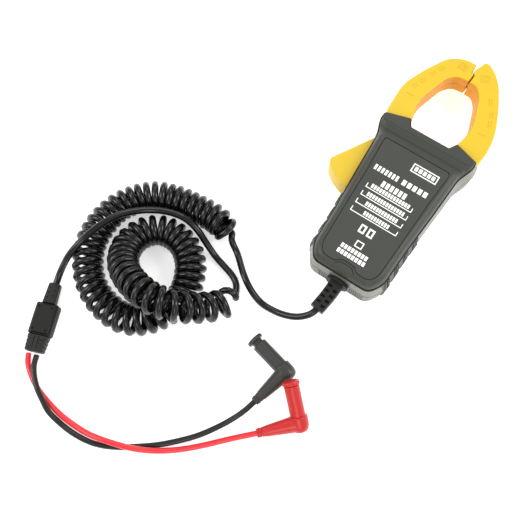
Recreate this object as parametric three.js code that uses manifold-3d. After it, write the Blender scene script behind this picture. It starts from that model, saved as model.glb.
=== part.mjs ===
// A clip-on AC current clamp: a hand-held case with two spring-closed jaws, a curly output cord,
// a split box, and two leads with right-angle plugs. It lies on its back.
// Millimetres. +Z up, +Y from the case towards the jaws, +X to the right of the label.
// The origin is on the ground, under the middle of the case, jaws, trigger and strain relief.
import * as THREE from 'three';
import { mergeVertices } from 'three/addons/utils/BufferGeometryUtils.js';
import Module from 'manifold-3d';

const wasm = await Module();
wasm.setup();

// ---- driving dimensions -------------------------------------------------------------------
const CASE_POSITION = [6, 5.4, 0]; // case's centre plane and datum, seen from the part's origin
const CASE_HEIGHT = 34;
const SEAM_Z = 17; // where the front and back covers meet
const SEAM_GAP = 0.3;
const WALL = 2.4;
const GAP = 0.3; // between pieces that touch or slide on each other

const HORN_TOP_Z = 29.5; // the case's two horns are lower than its label
const JAW_BOTTOM_Z = 9.5;
const JAW_TOP_Z = 25.2;
const JAW_WALL = 2;
const CORE_BOTTOM_Z = 13;
const CORE_TOP_Z = 21.7;
const CORE_HALF_WIDTH = 3.4;

const PIVOT = [-21.5, 8.5];
const PIN_RADIUS = 2;
const PIN_BOTTOM_Z = 3.2;
const PIN_TOP_Z = 29.6;
const RUNNING_GAP = 0.1; // between the pin and the jaw that turns on it
const SLOT_BOTTOM_Y = -36.5; // lower end of the trigger's slot in the case's left side

const SCREW_PLACES = [[-19, -70], [19, -70], [-6.5, 3], [24, -4]];
const SCREW_RADIUS = 1.45;
const SCREW_HEAD_RADIUS = 2.8;
const SCREW_HEAD_Z = [1.2, 3.2];
const SCREW_TIP_Z = 27;

const CORD_RADIUS = 2.2;
const LEAD_RADIUS = 1.75;
const COIL_RADIUS = 10.1; // outside of the curly cord

const PLUG_SHROUD_RADIUS = 4.65;
const PLUG_SHROUD_LENGTH = 23.3;
const PLUG_BORE_RADIUS = 3.6;
const PLUG_ELBOW_RADIUS = 5.6;
const PLUG_BOOT_LENGTH = 26;
const CAP_FLANGE_RADIUS = 5.3;
const CAP_FLANGE_THICKNESS = 2.2;
const CAP_NECK_LENGTH = 9;

const BOX_SIZE = [14.2, 20.4, 9.5];
const BOX_WALL = 1.6;
const BOX_POSITION = [-134, -197, 0];
const BOX_TURN = 0.365; // radians about +Z

// ---- outlines -----------------------------------------------------------------------------
// A corner is [x, y, setback]: the curve that rounds it starts that far before the corner.
// The case where its covers meet, round from the bottom end's right corner.
const SEAM = [
  [20.6, -84.9, 4], [27, -75, 5], [27.3, -50, 0], [28.8, -28, 0], [31, 2, 0], [31.6, 8.5, 4],
  [36.5, 20.5, 5], [35.6, 29.5, 0], [17.4, 31.2, 0], [14.2, 25.4, 0],
  [-14.2, 25.4, 0], [-17.4, 31.2, 0], [-34.8, 29.5, 0], [-33.8, 20.5, 5], [-30.8, 8.5, 4],
  [-30.4, 2, 0], [-28.8, -28, 0], [-27.3, -50, 0], [-27, -75, 5], [-20.6, -84.9, 4],
];
// The right half of the same corners at the front cover's rim, where its sides turn over to the face.
const RIM_HALF = [
  [19.2, -84.8, 4], [24.9, -76, 5], [25.8, -50, 0], [27.5, -22, 0], [28.9, 4, 0], [29.4, 9.5, 4],
  [33.5, 20, 5], [33, 25.6, 0], [17, 30.4, 0], [13.9, 25, 0],
];
// The face seen from the side, [y, z]: it slopes down to a raised band, and then to the horns.
const FACE_STEP = [[7.6, 34.2], [14.9, 30], [18.5, 31], [20, 29.5]];
const LABEL_HALF = [
  [15.4, -80.2, 3], [19.2, -75, 3], [20, -58, 0], [21.4, -18, 0], [23, 4, 0],
  [22.4, 6.6, 1.6],
];
const LABEL_ARCH = [[-7.6, -80.2, 2], [-4.4, -77.2, 2], [4.4, -77.2, 2], [7.6, -80.2, 2]];

const FIXED_JAW = [
  [14.7, 7.5, 0], [27.6, 7.5, 2], [29.4, 15, 2], [33.6, 22, 3], [36, 38, 8], [33.8, 53, 7],
  [27, 70.5, 0], [19.6, 85, 4], [13.5, 91.8, 3], [7.3, 96.2, 1.5], [3.7, 96.2, 1], [1.9, 90.8, 0],
  [0.4, 87.6, 0], [0.4, 84.9, 0], [2.1, 83, 0], [1.7, 76.6, 0], [7.4, 76.3, 3], [12, 70.5, 3],
  [18.7, 50, 6], [18.7, 39.5, 5], [15.9, 30.5, 2], [14.7, 22, 0],
];
const MOVING_JAW = [
  [-15, 3.4, 2], [-14.4, 9, 2], [-14.4, 22, 0], [-15.8, 31, 2], [-18.5, 41, 5], [-18.5, 49, 5],
  [-12.5, 70, 3], [-7.2, 76, 3], [0.9, 76.9, 0], [1.3, 82.4, 0], [-0.4, 84.2, 0], [-0.4, 91.2, 0],
  [-9, 91.2, 5], [-19.2, 85.4, 5], [-28.4, 67.8, 0], [-34.4, 52.5, 6], [-33.8, 29.6, 3],
  [-30, 20, 2], [-28.1, 9, 3], [-25.6, 2.6, 3], [-17.5, 1.5, 3],
];
const TRIGGER = [
  [-23, -29, 1], [-18.9, -8, 2], [-17.8, 0.9, 0], [-28.5, 0.9, 0], [-29.1, 9.7, 0],
  [-46.6, -20.4, 2], [-43.6, -24.9, 3], [-37.4, -28.9, 3], [-31.4, -31.3, 2],
  [-27.6, -31.7, 1],
];
const TRIGGER_TONGUE = [
  [-25.7, -6, 0], [-17.3, -6, 0], [-17.3, 8.5, 2.5], [-19, 12.7, 1.5], [-24, 12.7, 1.5], [-25.7, 8.5, 2.5],
];
const FIXED_CORE_PATH = [
  [2.6, 83.6], [9, 82.4], [15.5, 75.2], [22.5, 61.5], [27, 48], [26.6, 33], [23.4, 22], [17.5, 15.6],
  [-13.5, 15.5],
];
const MOVING_CORE_PATH = [
  [-0.9, 83.5], [-8, 83.2], [-15.2, 77.2], [-21.6, 63], [-26.4, 48], [-25.8, 32], [-22.6, 21.4],
  [-17.8, 15.7], [-14.6, 15.5],
];

// ---- routes of the cords, in the part's frame -----------------------------------------------
const CASE_CORD_ROUTE = [
  [4, -102.1, 15.4], [3.6, -103.8, 15], [1.2, -107.2, 13.2], [-3.8, -110.6, 9.4], [-10.6, -112.8, 5.8],
  [-18.8, -113.9, 3.4], [-27.5, -113.9, 2.8], [-35.5, -112, 5.2], [-42.2, -108.6, 7.2],
  [-48.6, -103.8, 6.4], [-54.6, -98.4, 4], [-60.4, -93.4, 2.8], [-66, -90.7, 3.8],
];
const COIL_ROUTE = [
  [-66.4, -88, 10.3], [-83.5, -85.2, 10.3], [-95.6, -86, 10.3], [-108.9, -88.2, 10.3],
  [-121.6, -92.8, 10.3], [-131.2, -100.8, 10.3], [-138.2, -112.3, 10.3], [-140.6, -126, 10.3],
  [-139, -139.8, 10.3], [-133.8, -151, 10.3], [-125.5, -160.4, 10.3], [-114.8, -167, 10.3],
  [-102.8, -170, 10.3], [-91.2, -169.4, 10.3], [-81.2, -163.8, 10.3], [-74.4, -155, 10.3],
  [-70.6, -144.6, 10.3], [-70.6, -134.6, 10.3], [-73.8, -125, 10.3], [-79.6, -116.6, 10.3],
  [-88.4, -110.8, 10.3], [-99, -109, 10.3], [-109.2, -112.4, 10.3], [-115.8, -120.8, 10.5],
  [-117.2, -131, 11.6], [-112.6, -140.6, 16.5], [-103.4, -147.8, 24], [-90.6, -152.2, 30.5],
  [-77.8, -153.2, 32.6], [-66, -149.4, 30], [-56, -142, 22], [-48.4, -133, 13], [-44.8, -126, 10.4],
  [-43.6, -122.4, 10.3],
];
const BOX_CORD_ROUTE = [
  [-44.6, -121.2, 3.8], [-44.4, -117, 2.6], [-46.8, -112.2, 2.5], [-52.6, -109, 2.5], [-60.8, -106.6, 2.5], [-69.6, -104.2, 3],
  [-78, -101.4, 8.6], [-86, -98.9, 15.4], [-95.4, -97.8, 18.6], [-105.4, -99.5, 18.8],
  [-115, -104, 19.2], [-123.4, -110.9, 20.6], [-130.8, -120.6, 22.8], [-135.8, -133, 24],
  [-139, -146.4, 23.4], [-142, -157, 17.6], [-143.6, -165.6, 9.4], [-142.9, -173.4, 5.2],
];
const BLACK_LEAD_ROUTE = [
  [-124.2, -217.1, 4.2], [-121.4, -222.6, 5.4], [-116.6, -228, 6], [-110.4, -232.8, 6],
  [-104.2, -236.2, 5.4], [-97.2, -239.6, 4.6], [-88.2, -241.4, 1.9], [-77.8, -241.8, 1.9],
  [-67.4, -240.6, 1.9], [-59.2, -238, 1.9], [-51, -233.8, 1.9], [-43.4, -228.6, 1.9],
  [-32, -219.8, 1.9], [-22.3, -210.4, 1.9], [-14, -200.8, 1.9], [-5.8, -188, 2.3],
  [-0.6, -176.6, 4], [2.3, -168.1, 5.5],
];
const RED_LEAD_ROUTE = [
  [-129.4, -218.6, 4.2], [-126.4, -223.8, 2.2], [-120.6, -228.2, 1.9], [-113.8, -231.8, 1.9],
  [-107.4, -234, 1.9], [-99.8, -235.8, 1.9], [-90.8, -237.3, 1.9], [-81, -237.7, 1.9],
  [-71, -237.2, 3.2], [-61.6, -235.4, 5.6], [-52.4, -232.8, 6], [-43.6, -229.8, 6],
  [-34.4, -225.4, 4.8], [-25.6, -219.6, 2.4], [-17.6, -213.2, 1.9], [-8.8, -204.8, 1.9],
  [0.8, -194.4, 2.6], [13.8, -183.4, 5.5],
];

// ---- solids ---------------------------------------------------------------------------------
function toSolid(geometry) {
  const plain = geometry.clone();
  plain.deleteAttribute('normal');
  plain.deleteAttribute('uv');
  const merged = mergeVertices(plain, 1e-4);
  const positions = merged.getAttribute('position').array;
  const vertProperties = new Float32Array(positions);
  const triVerts = new Uint32Array(merged.getIndex().array);
  return new wasm.Manifold(new wasm.Mesh({ numProp: 3, vertProperties, triVerts }));
}

function toGeometry(solid) {
  const { vertProperties, triVerts, numProp } = solid.getMesh();
  const positions = new Float32Array((vertProperties.length / numProp) * 3);
  for (let vertex = 0; vertex * numProp < vertProperties.length; vertex += 1) {
    for (let axis = 0; axis < 3; axis += 1) {
      positions[vertex * 3 + axis] = vertProperties[vertex * numProp + axis];
    }
  }
  const geometry = new THREE.BufferGeometry();
  geometry.setAttribute('position', new THREE.BufferAttribute(positions, 3));
  geometry.setIndex(new THREE.BufferAttribute(new Uint32Array(triVerts), 1));
  geometry.computeVertexNormals();
  return geometry;
}

const cut = (solid, ...tools) => tools.reduce((left, tool) => left.subtract(tool), solid);
const join = (...solids) => solids.reduce((whole, solid) => whole.add(solid));

const vector = ([x, y]) => new THREE.Vector2(x, y);
const neighbours = (list, index) => [
  list[(index + list.length - 1) % list.length], list[(index + 1) % list.length],
];

// Moves every side of a counter-clockwise outline inwards, or outwards when the distance is negative.
function moved(corners, distance) {
  const normalOf = (from, to) => new THREE.Vector2(from.y - to.y, to.x - from.x).normalize();
  return corners.map((corner, index) => {
    const point = vector(corner);
    const [before, after] = neighbours(corners, index).map(vector);
    const first = normalOf(before, point);
    const second = normalOf(point, after);
    const mitre = first.clone().add(second).multiplyScalar(distance / (1 + first.dot(second)));
    return [point.x + mitre.x, point.y + mitre.y, corner[2]];
  });
}

// The outline's points, with each corner rounded by a short curve unless its setback is zero.
function outline(corners, inset = 0, arcSteps = 3) {
  const placed = moved(corners, inset);
  return placed.flatMap((place, index) => {
    const corner = vector(place);
    if (place[2] === 0) return [corner];
    const [before, after] = neighbours(placed, index).map((next) => {
      const side = vector(next).sub(corner);
      return side.setLength(Math.min(place[2], side.length() * 0.45)).add(corner);
    });
    return new THREE.QuadraticBezierCurve(before, corner, after).getPoints(arcSteps);
  });
}

const mirrored = (half) => [...half, ...half.toReversed().map(([x, y, setback]) => [-x, y, setback])];

// A closed body through outlines of equal point count, each at its own height.
function loft(levels) {
  const count = levels[0].points.length;
  const positions = levels.flatMap(({ points, z }) => points.flatMap(({ x, y }) => [x, y, z]));
  const indices = [];
  for (let level = 0; level + 1 < levels.length; level += 1) {
    for (let index = 0; index < count; index += 1) {
      const a = level * count + index;
      const b = level * count + ((index + 1) % count);
      indices.push(a, b, b + count, a, b + count, a + count);
    }
  }
  const top = (levels.length - 1) * count;
  for (const [a, b, c] of THREE.ShapeUtils.triangulateShape(levels[0].points, [])) {
    indices.push(a, c, b);
  }
  for (const [a, b, c] of THREE.ShapeUtils.triangulateShape(levels.at(-1).points, [])) {
    indices.push(top + a, top + b, top + c);
  }
  const geometry = new THREE.BufferGeometry();
  geometry.setAttribute('position', new THREE.Float32BufferAttribute(positions, 3));
  geometry.setIndex(indices);
  return toSolid(geometry);
}

const slab = (points, bottom, top) => loft([{ points, z: bottom }, { points, z: top }]);

function block([x0, x1], [y0, y1], [z0, z1]) {
  const geometry = new THREE.BoxGeometry(x1 - x0, y1 - y0, z1 - z0);
  geometry.translate((x0 + x1) / 2, (y0 + y1) / 2, (z0 + z1) / 2);
  return toSolid(geometry);
}

function post([x, y], radius, bottom, top, sides = 20) {
  const geometry = new THREE.CylinderGeometry(radius, radius, top - bottom, sides);
  geometry.rotateX(Math.PI / 2);
  geometry.translate(x, y, (bottom + top) / 2);
  return toSolid(geometry);
}

// A solid of revolution about an axis through the origin. The profile is [radius, place along axis].
function turned(profile, axis, sides = 20) {
  const points = profile.map(([radius, along]) => new THREE.Vector2(radius, along));
  const geometry = new THREE.LatheGeometry(points, sides);
  if (axis === 'x') geometry.rotateZ(-Math.PI / 2);
  if (axis === 'z') geometry.rotateX(Math.PI / 2);
  return toSolid(geometry);
}

function tube(route, radius, sides, steps) {
  const section = new THREE.Shape();
  for (let side = 0; side < sides; side += 1) {
    const angle = (2 * Math.PI * side) / sides;
    const corner = [radius * Math.cos(angle), radius * Math.sin(angle)];
    if (side === 0) section.moveTo(...corner);
    else section.lineTo(...corner);
  }
  section.closePath();
  const curve = new THREE.CatmullRomCurve3(route.map((point) => new THREE.Vector3(...point)));
  return new THREE.ExtrudeGeometry(section, { extrudePath: curve, steps });
}

// A flat strip of even width along a path, as the laminations of a core are cut.
function strip(path, halfWidth) {
  const points = path.map(([x, y]) => new THREE.Vector2(x, y));
  const sideAt = (index) => {
    const before = points[Math.max(index - 1, 0)];
    const after = points[Math.min(index + 1, points.length - 1)];
    const along = after.clone().sub(before).normalize();
    return new THREE.Vector2(-along.y, along.x).multiplyScalar(halfWidth);
  };
  const left = points.map((point, index) => point.clone().add(sideAt(index)));
  const right = points.map((point, index) => point.clone().sub(sideAt(index)));
  const outline = [...right, ...left.reverse()];
  return THREE.ShapeUtils.isClockWise(outline) ? outline.reverse() : outline;
}

// ---- materials ------------------------------------------------------------------------------
const finish = (color, roughness, metalness = 0) =>
  new THREE.MeshStandardMaterial({ color, roughness, metalness });
const charcoal = finish(0x3f423c, 0.55);
const labelGrey = finish(0x4b4e48, 0.6);
const yellow = finish(0xf8d030, 0.45);
const blackRubber = finish(0x1d1e1c, 0.5);
const cordBlack = finish(0x161715, 0.3);
const leadRed = finish(0xe0393a, 0.35);
const plugRed = finish(0xd92f2c, 0.4);
const steel = finish(0x9a9da0, 0.3, 1);
const coreSteel = finish(0x6d7074, 0.45, 1);
const copper = finish(0xb5652c, 0.35, 1);
const nylon = finish(0xe8e4d4, 0.6);
const boardGreen = finish(0x1f6b3c, 0.5);
const brass = finish(0xc9a24b, 0.3, 1);

function mesh(name, shape, material) {
  const geometry = shape instanceof THREE.BufferGeometry ? shape : toGeometry(shape);
  const piece = new THREE.Mesh(geometry, material);
  piece.name = name;
  return piece;
}

// ---- case -----------------------------------------------------------------------------------
const RIM = mirrored(RIM_HALF);
const RIM_Z = 28;
const LABEL = [...LABEL_ARCH, ...mirrored(LABEL_HALF)];

const RELIEF_RADIUS = 4.6;
const RELIEF_ROUTE = [[0, -79.5, 17], [0, -88, 17], [-0.5, -97, 16.6], [-1.9, -107, 15.5]];
const RELIEF_FLANGES = [[6.4, -82, -80], [7.3, -87.6, -85.4]]; // radius, then its two ends along Y
const LABEL_THICKNESS = 0.8;
const POST_RADIUS = 4.2;
const GRIP = { firstY: -40.3, pitch: 10.6, count: 4, length: 5, proud: 0.6 };
const BOARD = { x: 13.5, y: [-76, -44], z: [6, 7.6] };
const SPRING = { y: -12, z: 17.3, from: -18, to: -2.6, radius: 2.6, wire: 0.5, turns: 6 };

// The space that the jaws and the trigger need through the covers' sides and top.
function jawPassages() {
  const bottom = JAW_BOTTOM_Z - GAP;
  const top = JAW_TOP_Z + GAP;
  return [
    slab(outline(FIXED_JAW, -GAP), bottom, top),
    block([-60, -14], [SLOT_BOTTOM_Y, 60], [bottom, top]),
  ];
}

function reliefOpening() {
  const hole = turned([[0, -90], [RELIEF_RADIUS + GAP, -90], [RELIEF_RADIUS + GAP, -76], [0, -76]], 'y');
  const [[innerRadius, innerStart, innerEnd], [outerRadius]] = RELIEF_FLANGES;
  const groove = turned([
    [0, innerStart - GAP], [innerRadius + GAP, innerStart - GAP],
    [innerRadius + GAP, innerEnd + GAP], [0, innerEnd + GAP],
  ], 'y');
  const mouth = turned([[0, -90], [outerRadius + GAP, -90], [outerRadius + GAP, -85.1], [0, -85.1]], 'y');
  return [hole, groove, mouth].map((solid) => solid.translate([0, 0, SEAM_Z]));
}

// Pads along both sides, between a bottom and a top level of a cover's wall.
function gripPads(levels) {
  const thicker = loft(levels.map(({ corners, inset, z }) => (
    { points: outline(corners, inset - GRIP.proud), z })));
  const places = [];
  for (let index = 0; index < GRIP.count; index += 1) {
    const y = GRIP.firstY - index * GRIP.pitch;
    const span = [y - GRIP.length / 2, y + GRIP.length / 2];
    places.push(block([-40, -22], span, [0, CASE_HEIGHT]), block([22, 40], span, [0, CASE_HEIGHT]));
  }
  return thicker.intersect(join(...places));
}

function frontCover() {
  const outside = loft([
    { points: outline(SEAM), z: SEAM_Z + SEAM_GAP / 2 },
    { points: outline(RIM), z: RIM_Z },
    { points: outline(RIM, 0.9), z: 31 },
    { points: outline(RIM, 2), z: 33 },
    { points: outline(RIM, 3.4), z: CASE_HEIGHT },
  ]);
  const cavity = slab(outline(RIM, WALL), SEAM_Z - 1, CASE_HEIGHT - WALL - LABEL_THICKNESS);
  const hornRoof = block([-40, 40], [7, 40], [HORN_TOP_Z - WALL, CASE_HEIGHT]);
  const above = [...FACE_STEP, [40, HORN_TOP_Z], [40, 40], [FACE_STEP[0][0], 40]];
  const slopeSide = new THREE.Shape(above.map(([y, z]) => new THREE.Vector2(y, z)));
  const slopeGeometry = new THREE.ExtrudeGeometry(slopeSide, { depth: 80, bevelEnabled: false });
  slopeGeometry.applyMatrix4(new THREE.Matrix4().makeBasis(
    new THREE.Vector3(0, 1, 0), new THREE.Vector3(0, 0, 1), new THREE.Vector3(1, 0, 0),
  ).setPosition(-40, 0, 0));
  const recess = slab(outline(LABEL, -GAP), CASE_HEIGHT - LABEL_THICKNESS, CASE_HEIGHT + 1);
  const pads = gripPads([
    { corners: SEAM, inset: 0, z: SEAM_Z + SEAM_GAP / 2 },
    { corners: RIM, inset: 0, z: RIM_Z },
  ]);
  const body = join(outside, pads);
  const shell = cut(body, cut(cavity, hornRoof), toSolid(slopeGeometry), recess, ...jawPassages());
  const roof = CASE_HEIGHT - WALL;
  const posts = SCREW_PLACES.map((place) => post(place, POST_RADIUS - 1, SEAM_Z + SEAM_GAP / 2, roof));
  const pinBoss = post(PIVOT, 4, JAW_TOP_Z + GAP, PIN_TOP_Z + 1.4);
  const screwHoles = SCREW_PLACES.map((place) => post(place, SCREW_RADIUS + GAP, 0, SCREW_TIP_Z + 1));
  const pinHole = post(PIVOT, PIN_RADIUS + GAP, 0, PIN_TOP_Z + GAP);
  return cut(join(shell, ...posts, pinBoss), ...screwHoles, pinHole, ...reliefOpening());
}

function backCover() {
  const outside = loft([
    { points: outline(SEAM, 4.4), z: 0 },
    { points: outline(SEAM, 2), z: 1.6 },
    { points: outline(SEAM, 0.7), z: 5 },
    { points: outline(SEAM), z: SEAM_Z - SEAM_GAP / 2 },
  ]);
  const cavity = slab(outline(SEAM, WALL + 1.2), WALL, SEAM_Z + 1);
  const seam = SEAM_Z - SEAM_GAP / 2;
  const passages = jawPassages();
  const posts = SCREW_PLACES.map((place) => post(place, POST_RADIUS, 1, seam));
  const pinBoss = post(PIVOT, 4, 1, JAW_BOTTOM_Z - GAP);
  const springRib = block([-2.2, 0], [SPRING.y - 5, SPRING.y + 5], [1, seam]);
  const boardPosts = [-1, 1].flatMap((side) => BOARD.y.map((y) => (
    post([side * (BOARD.x - 3), y + Math.sign(-60 - y) * 4], 2, 1, BOARD.z[0] - GAP, 12))));
  const screwHoles = SCREW_PLACES.flatMap((place) => [
    post(place, SCREW_RADIUS + GAP, -1, CASE_HEIGHT),
    post(place, SCREW_HEAD_RADIUS + GAP, -1, SCREW_HEAD_Z[1] + GAP),
  ]);
  const pinHole = post(PIVOT, PIN_RADIUS + GAP, PIN_BOTTOM_Z - GAP, CASE_HEIGHT);
  const pads = gripPads([{ corners: SEAM, inset: 0.7, z: 5 }, { corners: SEAM, inset: 0, z: seam }]);
  const shell = cut(join(outside, pads), cavity, ...passages);
  const whole = join(shell, ...posts, pinBoss, springRib, ...boardPosts);
  return cut(whole, ...screwHoles, pinHole, ...reliefOpening());
}

function caseScrew(place) {
  const [headBottom, headTop] = SCREW_HEAD_Z;
  const head = post(place, SCREW_HEAD_RADIUS, headBottom, headTop);
  const shank = post(place, SCREW_RADIUS, headTop - 0.2, SCREW_TIP_Z, 12);
  const slots = [0, 1].map((turn) => {
    const half = turn ? [0.4, 1.7] : [1.7, 0.4];
    const [x, y] = place;
    return block([x - half[0], x + half[0]], [y - half[1], y + half[1]], [0, headBottom + 0.9]);
  });
  return cut(join(head, shank), ...slots);
}

function strainRelief() {
  const sleeve = toSolid(tube(RELIEF_ROUTE, RELIEF_RADIUS, 20, 8));
  const flanges = RELIEF_FLANGES.map(([radius, start, end]) => (
    turned([[0, start], [radius, start], [radius, end], [0, end]], 'y', 28).translate([0, 0, SEAM_Z])));
  const slots = [];
  for (let row = 0; row < 3; row += 1) {
    for (const side of [-1, 1]) {
      const y = -92 - row * 4.6 - (side > 0 ? 2.3 : 0);
      const x = side * 2.1 - 0.9 * (row / 2) ** 2;
      slots.push(block([x - 1.3, x + 1.3], [y - 0.9, y + 0.9], [19.4 - row * 0.4, 24]));
      slots.push(block([x - 1.3, x + 1.3], [y - 0.9, y + 0.9], [8, 14 - row * 0.5]));
    }
  }
  return cut(join(sleeve, ...flanges), ...slots);
}

// ---- jaws -----------------------------------------------------------------------------------
// Half of a jaw's housing: a tray around the core, open at the middle plane and at the core's ends.
function jawShell(corners, isFront, openings) {
  const middle = (JAW_BOTTOM_Z + JAW_TOP_Z) / 2;
  const edge = 0.9;
  const levels = isFront
    ? [[0, middle + GAP / 2], [0, JAW_TOP_Z - edge], [0.5, JAW_TOP_Z]]
    : [[0.5, JAW_BOTTOM_Z], [0, JAW_BOTTOM_Z + edge], [0, middle - GAP / 2]];
  const outside = loft(levels.map(([inset, z]) => ({ points: outline(corners, inset), z })));
  const inside = outline(corners, JAW_WALL);
  const cavity = isFront
    ? slab(inside, middle - 1, JAW_TOP_Z - JAW_WALL)
    : slab(inside, JAW_BOTTOM_Z + JAW_WALL, middle + 1);
  return cut(outside, cavity, ...openings);
}

function coreOpening([x0, x1], [y0, y1]) {
  return block([x0, x1], [y0, y1], [CORE_BOTTOM_Z - 0.5, CORE_TOP_Z + 0.5]);
}

const fixedJawOpenings = [coreOpening([-1, 5], [79.8, 87.4]), coreOpening([13, 19], [11.6, 19.4])];
const movingJawOpenings = [
  coreOpening([-4, 3], [79.7, 87.3]),
  coreOpening([-18, -13], [11.4, 19.6]),
  block([-26.1, -16.8], [0, 9.5], [11.8, 22.9]), // the trigger's tongue comes in here
  post(PIVOT, PIN_RADIUS + RUNNING_GAP, 0, CASE_HEIGHT, 24),
];

function core(path) {
  return slab(strip(path, CORE_HALF_WIDTH), CORE_BOTTOM_Z, CORE_TOP_Z);
}

function trigger() {
  const grip = loft([
    { points: outline(TRIGGER, 0.5), z: JAW_BOTTOM_Z },
    { points: outline(TRIGGER), z: JAW_BOTTOM_Z + 0.9 },
    { points: outline(TRIGGER), z: JAW_TOP_Z - 0.9 },
    { points: outline(TRIGGER, 0.5), z: JAW_TOP_Z },
  ]);
  const tongue = slab(outline(TRIGGER_TONGUE), 12.2, 22.5);
  return cut(join(grip, tongue), post(PIVOT, PIN_RADIUS + RUNNING_GAP, 0, CASE_HEIGHT, 24));
}

const pivotPin = () => post(PIVOT, PIN_RADIUS, PIN_BOTTOM_Z, PIN_TOP_Z, 24);

function returnSpring() {
  const { y, z, from, to, radius, wire, turns } = SPRING;
  const samples = turns * 8;
  const route = [];
  for (let index = 0; index <= samples; index += 1) {
    const angle = (2 * Math.PI * turns * index) / samples;
    const x = from + ((to - from) * index) / samples;
    route.push([x, y + radius * Math.cos(angle), z + radius * Math.sin(angle)]);
  }
  return tube(route, wire, 6, turns * 10);
}

// ---- coil, board and wiring inside the case ---------------------------------------------------
const BOBBIN = { x: [-9.6, 11.4], y: [8.7, 21.4], z: [9.7, 25], flange: 1.2, tube: 0.8 };
const CORE_BAND_Y = [12.1 - 0.35, 18.9 + 0.35];
const CORE_BAND_Z = [CORE_BOTTOM_Z - 0.35, CORE_TOP_Z + 0.35];
const widened = ([low, high], by) => [low - by, high + by];

function coilBobbin() {
  const { x, y, z, flange, tube: wall } = BOBBIN;
  const barrel = block(x, widened(CORE_BAND_Y, wall), widened(CORE_BAND_Z, wall));
  const ends = [block([x[0], x[0] + flange], y, z), block([x[1] - flange, x[1]], y, z)];
  return cut(join(barrel, ...ends), block([-30, 30], CORE_BAND_Y, CORE_BAND_Z));
}

function coilWinding() {
  const { x, y, z, flange, tube: wall } = BOBBIN;
  const span = widened(x, -flange - GAP);
  const copperBlock = block(span, widened(y, -0.4), widened(z, -0.4));
  const hole = block([-30, 30], widened(CORE_BAND_Y, wall + GAP), widened(CORE_BAND_Z, wall + GAP));
  return cut(copperBlock, hole);
}

function circuitBoard() {
  const board = block([-BOARD.x, BOARD.x], BOARD.y, BOARD.z);
  const notches = [-1, 1].map((side) => post([side * 19, -70], POST_RADIUS + 2.2, 0, 12));
  return cut(board, ...notches);
}

function burdenResistor() {
  const profile = [[0, -7], [2, -7], [2.5, -6], [2.5, -4.6], [2.1, -4], [2.1, 4], [2.5, 4.6], [2.5, 6],
    [2, 7], [0, 7]];
  return turned(profile, 'x', 16).translate([0, -54, BOARD.z[1] + 2.5 + GAP]);
}

const limiterDiode = () => (
  turned([[0, -2.6], [1.35, -2.6], [1.35, 2.6], [0, 2.6]], 'x', 12).translate([0, -62, BOARD.z[1] + 1.35 + GAP]));

const WIRES = {
  coil_wire_left: { route: [[-4, 8.2, 10], [0.6, 4, 6], [5, -10, 4.6], [5, -30, 5], [4, -43, 8.4]], material: copper },
  coil_wire_right: { route: [[6, 8.2, 10], [5.4, 2, 6], [8.4, -10, 4.6], [8.6, -30, 5], [8, -43, 8.4]], material: copper },
  output_wire_red: { route: [[-3, -74.2, 8.4], [-3, -76, 9.6], [-2, -78, 13], [-1.6, -79.1, 15.6]], material: leadRed },
  output_wire_black: { route: [[3, -74.2, 8.4], [3, -76, 9.6], [2, -78, 13], [1.6, -79.1, 15.6]], material: cordBlack },
};

// ---- cords, split box and plugs -----------------------------------------------------------------
const SPLIT_CORD_BOOT = { length: 13, widths: [8.6, 7.4], heights: [8, 7] };
const SPLIT_LEAD_BOOT = { length: 10, widths: [13.4, 12], heights: [8, 7.4] };

function rectangle(width, height, setback) {
  const x = width / 2;
  const y = height / 2;
  return [[-x, -y, setback], [x, -y, setback], [x, y, setback], [-x, y, setback]];
}

// A boot grows along +Z from the box's wall; its caller lays it down along the box.
function boot({ length, widths, heights }) {
  const solid = loft([
    { points: outline(rectangle(widths[0], heights[0], 2.4)), z: 0 },
    { points: outline(rectangle(widths[1], heights[1], 2.4)), z: length },
  ]);
  const slots = [];
  for (let z = 2.6; z < length - 2; z += 3.2) {
    for (const side of [-1, 1]) {
      const height = side * heights[0] * 0.5;
      slots.push(block([-2.4, 2.4], widened([height, height], 0.9), [z, z + 1.4]));
    }
  }
  return toGeometry(cut(solid, ...slots));
}

function boxHalf(isTop) {
  const [width, length, height] = BOX_SIZE;
  const corners = rectangle(width, length, 1.6);
  const middle = height / 2;
  const outside = isTop
    ? loft([
      { points: outline(corners), z: middle + GAP / 2 }, { points: outline(corners), z: height - 1.4 },
      { points: outline(corners, 1.2), z: height },
    ])
    : loft([
      { points: outline(corners, 1), z: 0 }, { points: outline(corners), z: 1.2 },
      { points: outline(corners), z: middle - GAP / 2 },
    ]);
  const hollow = outline(corners, BOX_WALL);
  const cavity = isTop
    ? slab(hollow, middle - 1, height - BOX_WALL - 1)
    : slab(hollow, BOX_WALL, middle + 1);
  const dimples = [-1, 1].flatMap((sideX) => [-1, 1].map((sideY) => (
    post([sideX * (width / 2 - 3.2), sideY * (length / 2 - 3.2)], 1, height - 0.7, height + 1, 12))));
  return isTop ? cut(outside, cavity, ...dimples) : cut(outside, cavity);
}

const spliceSleeve = () => turned([[0, -4], [1.3, -4], [1.3, 4], [0, 4]], 'y', 10);

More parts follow.
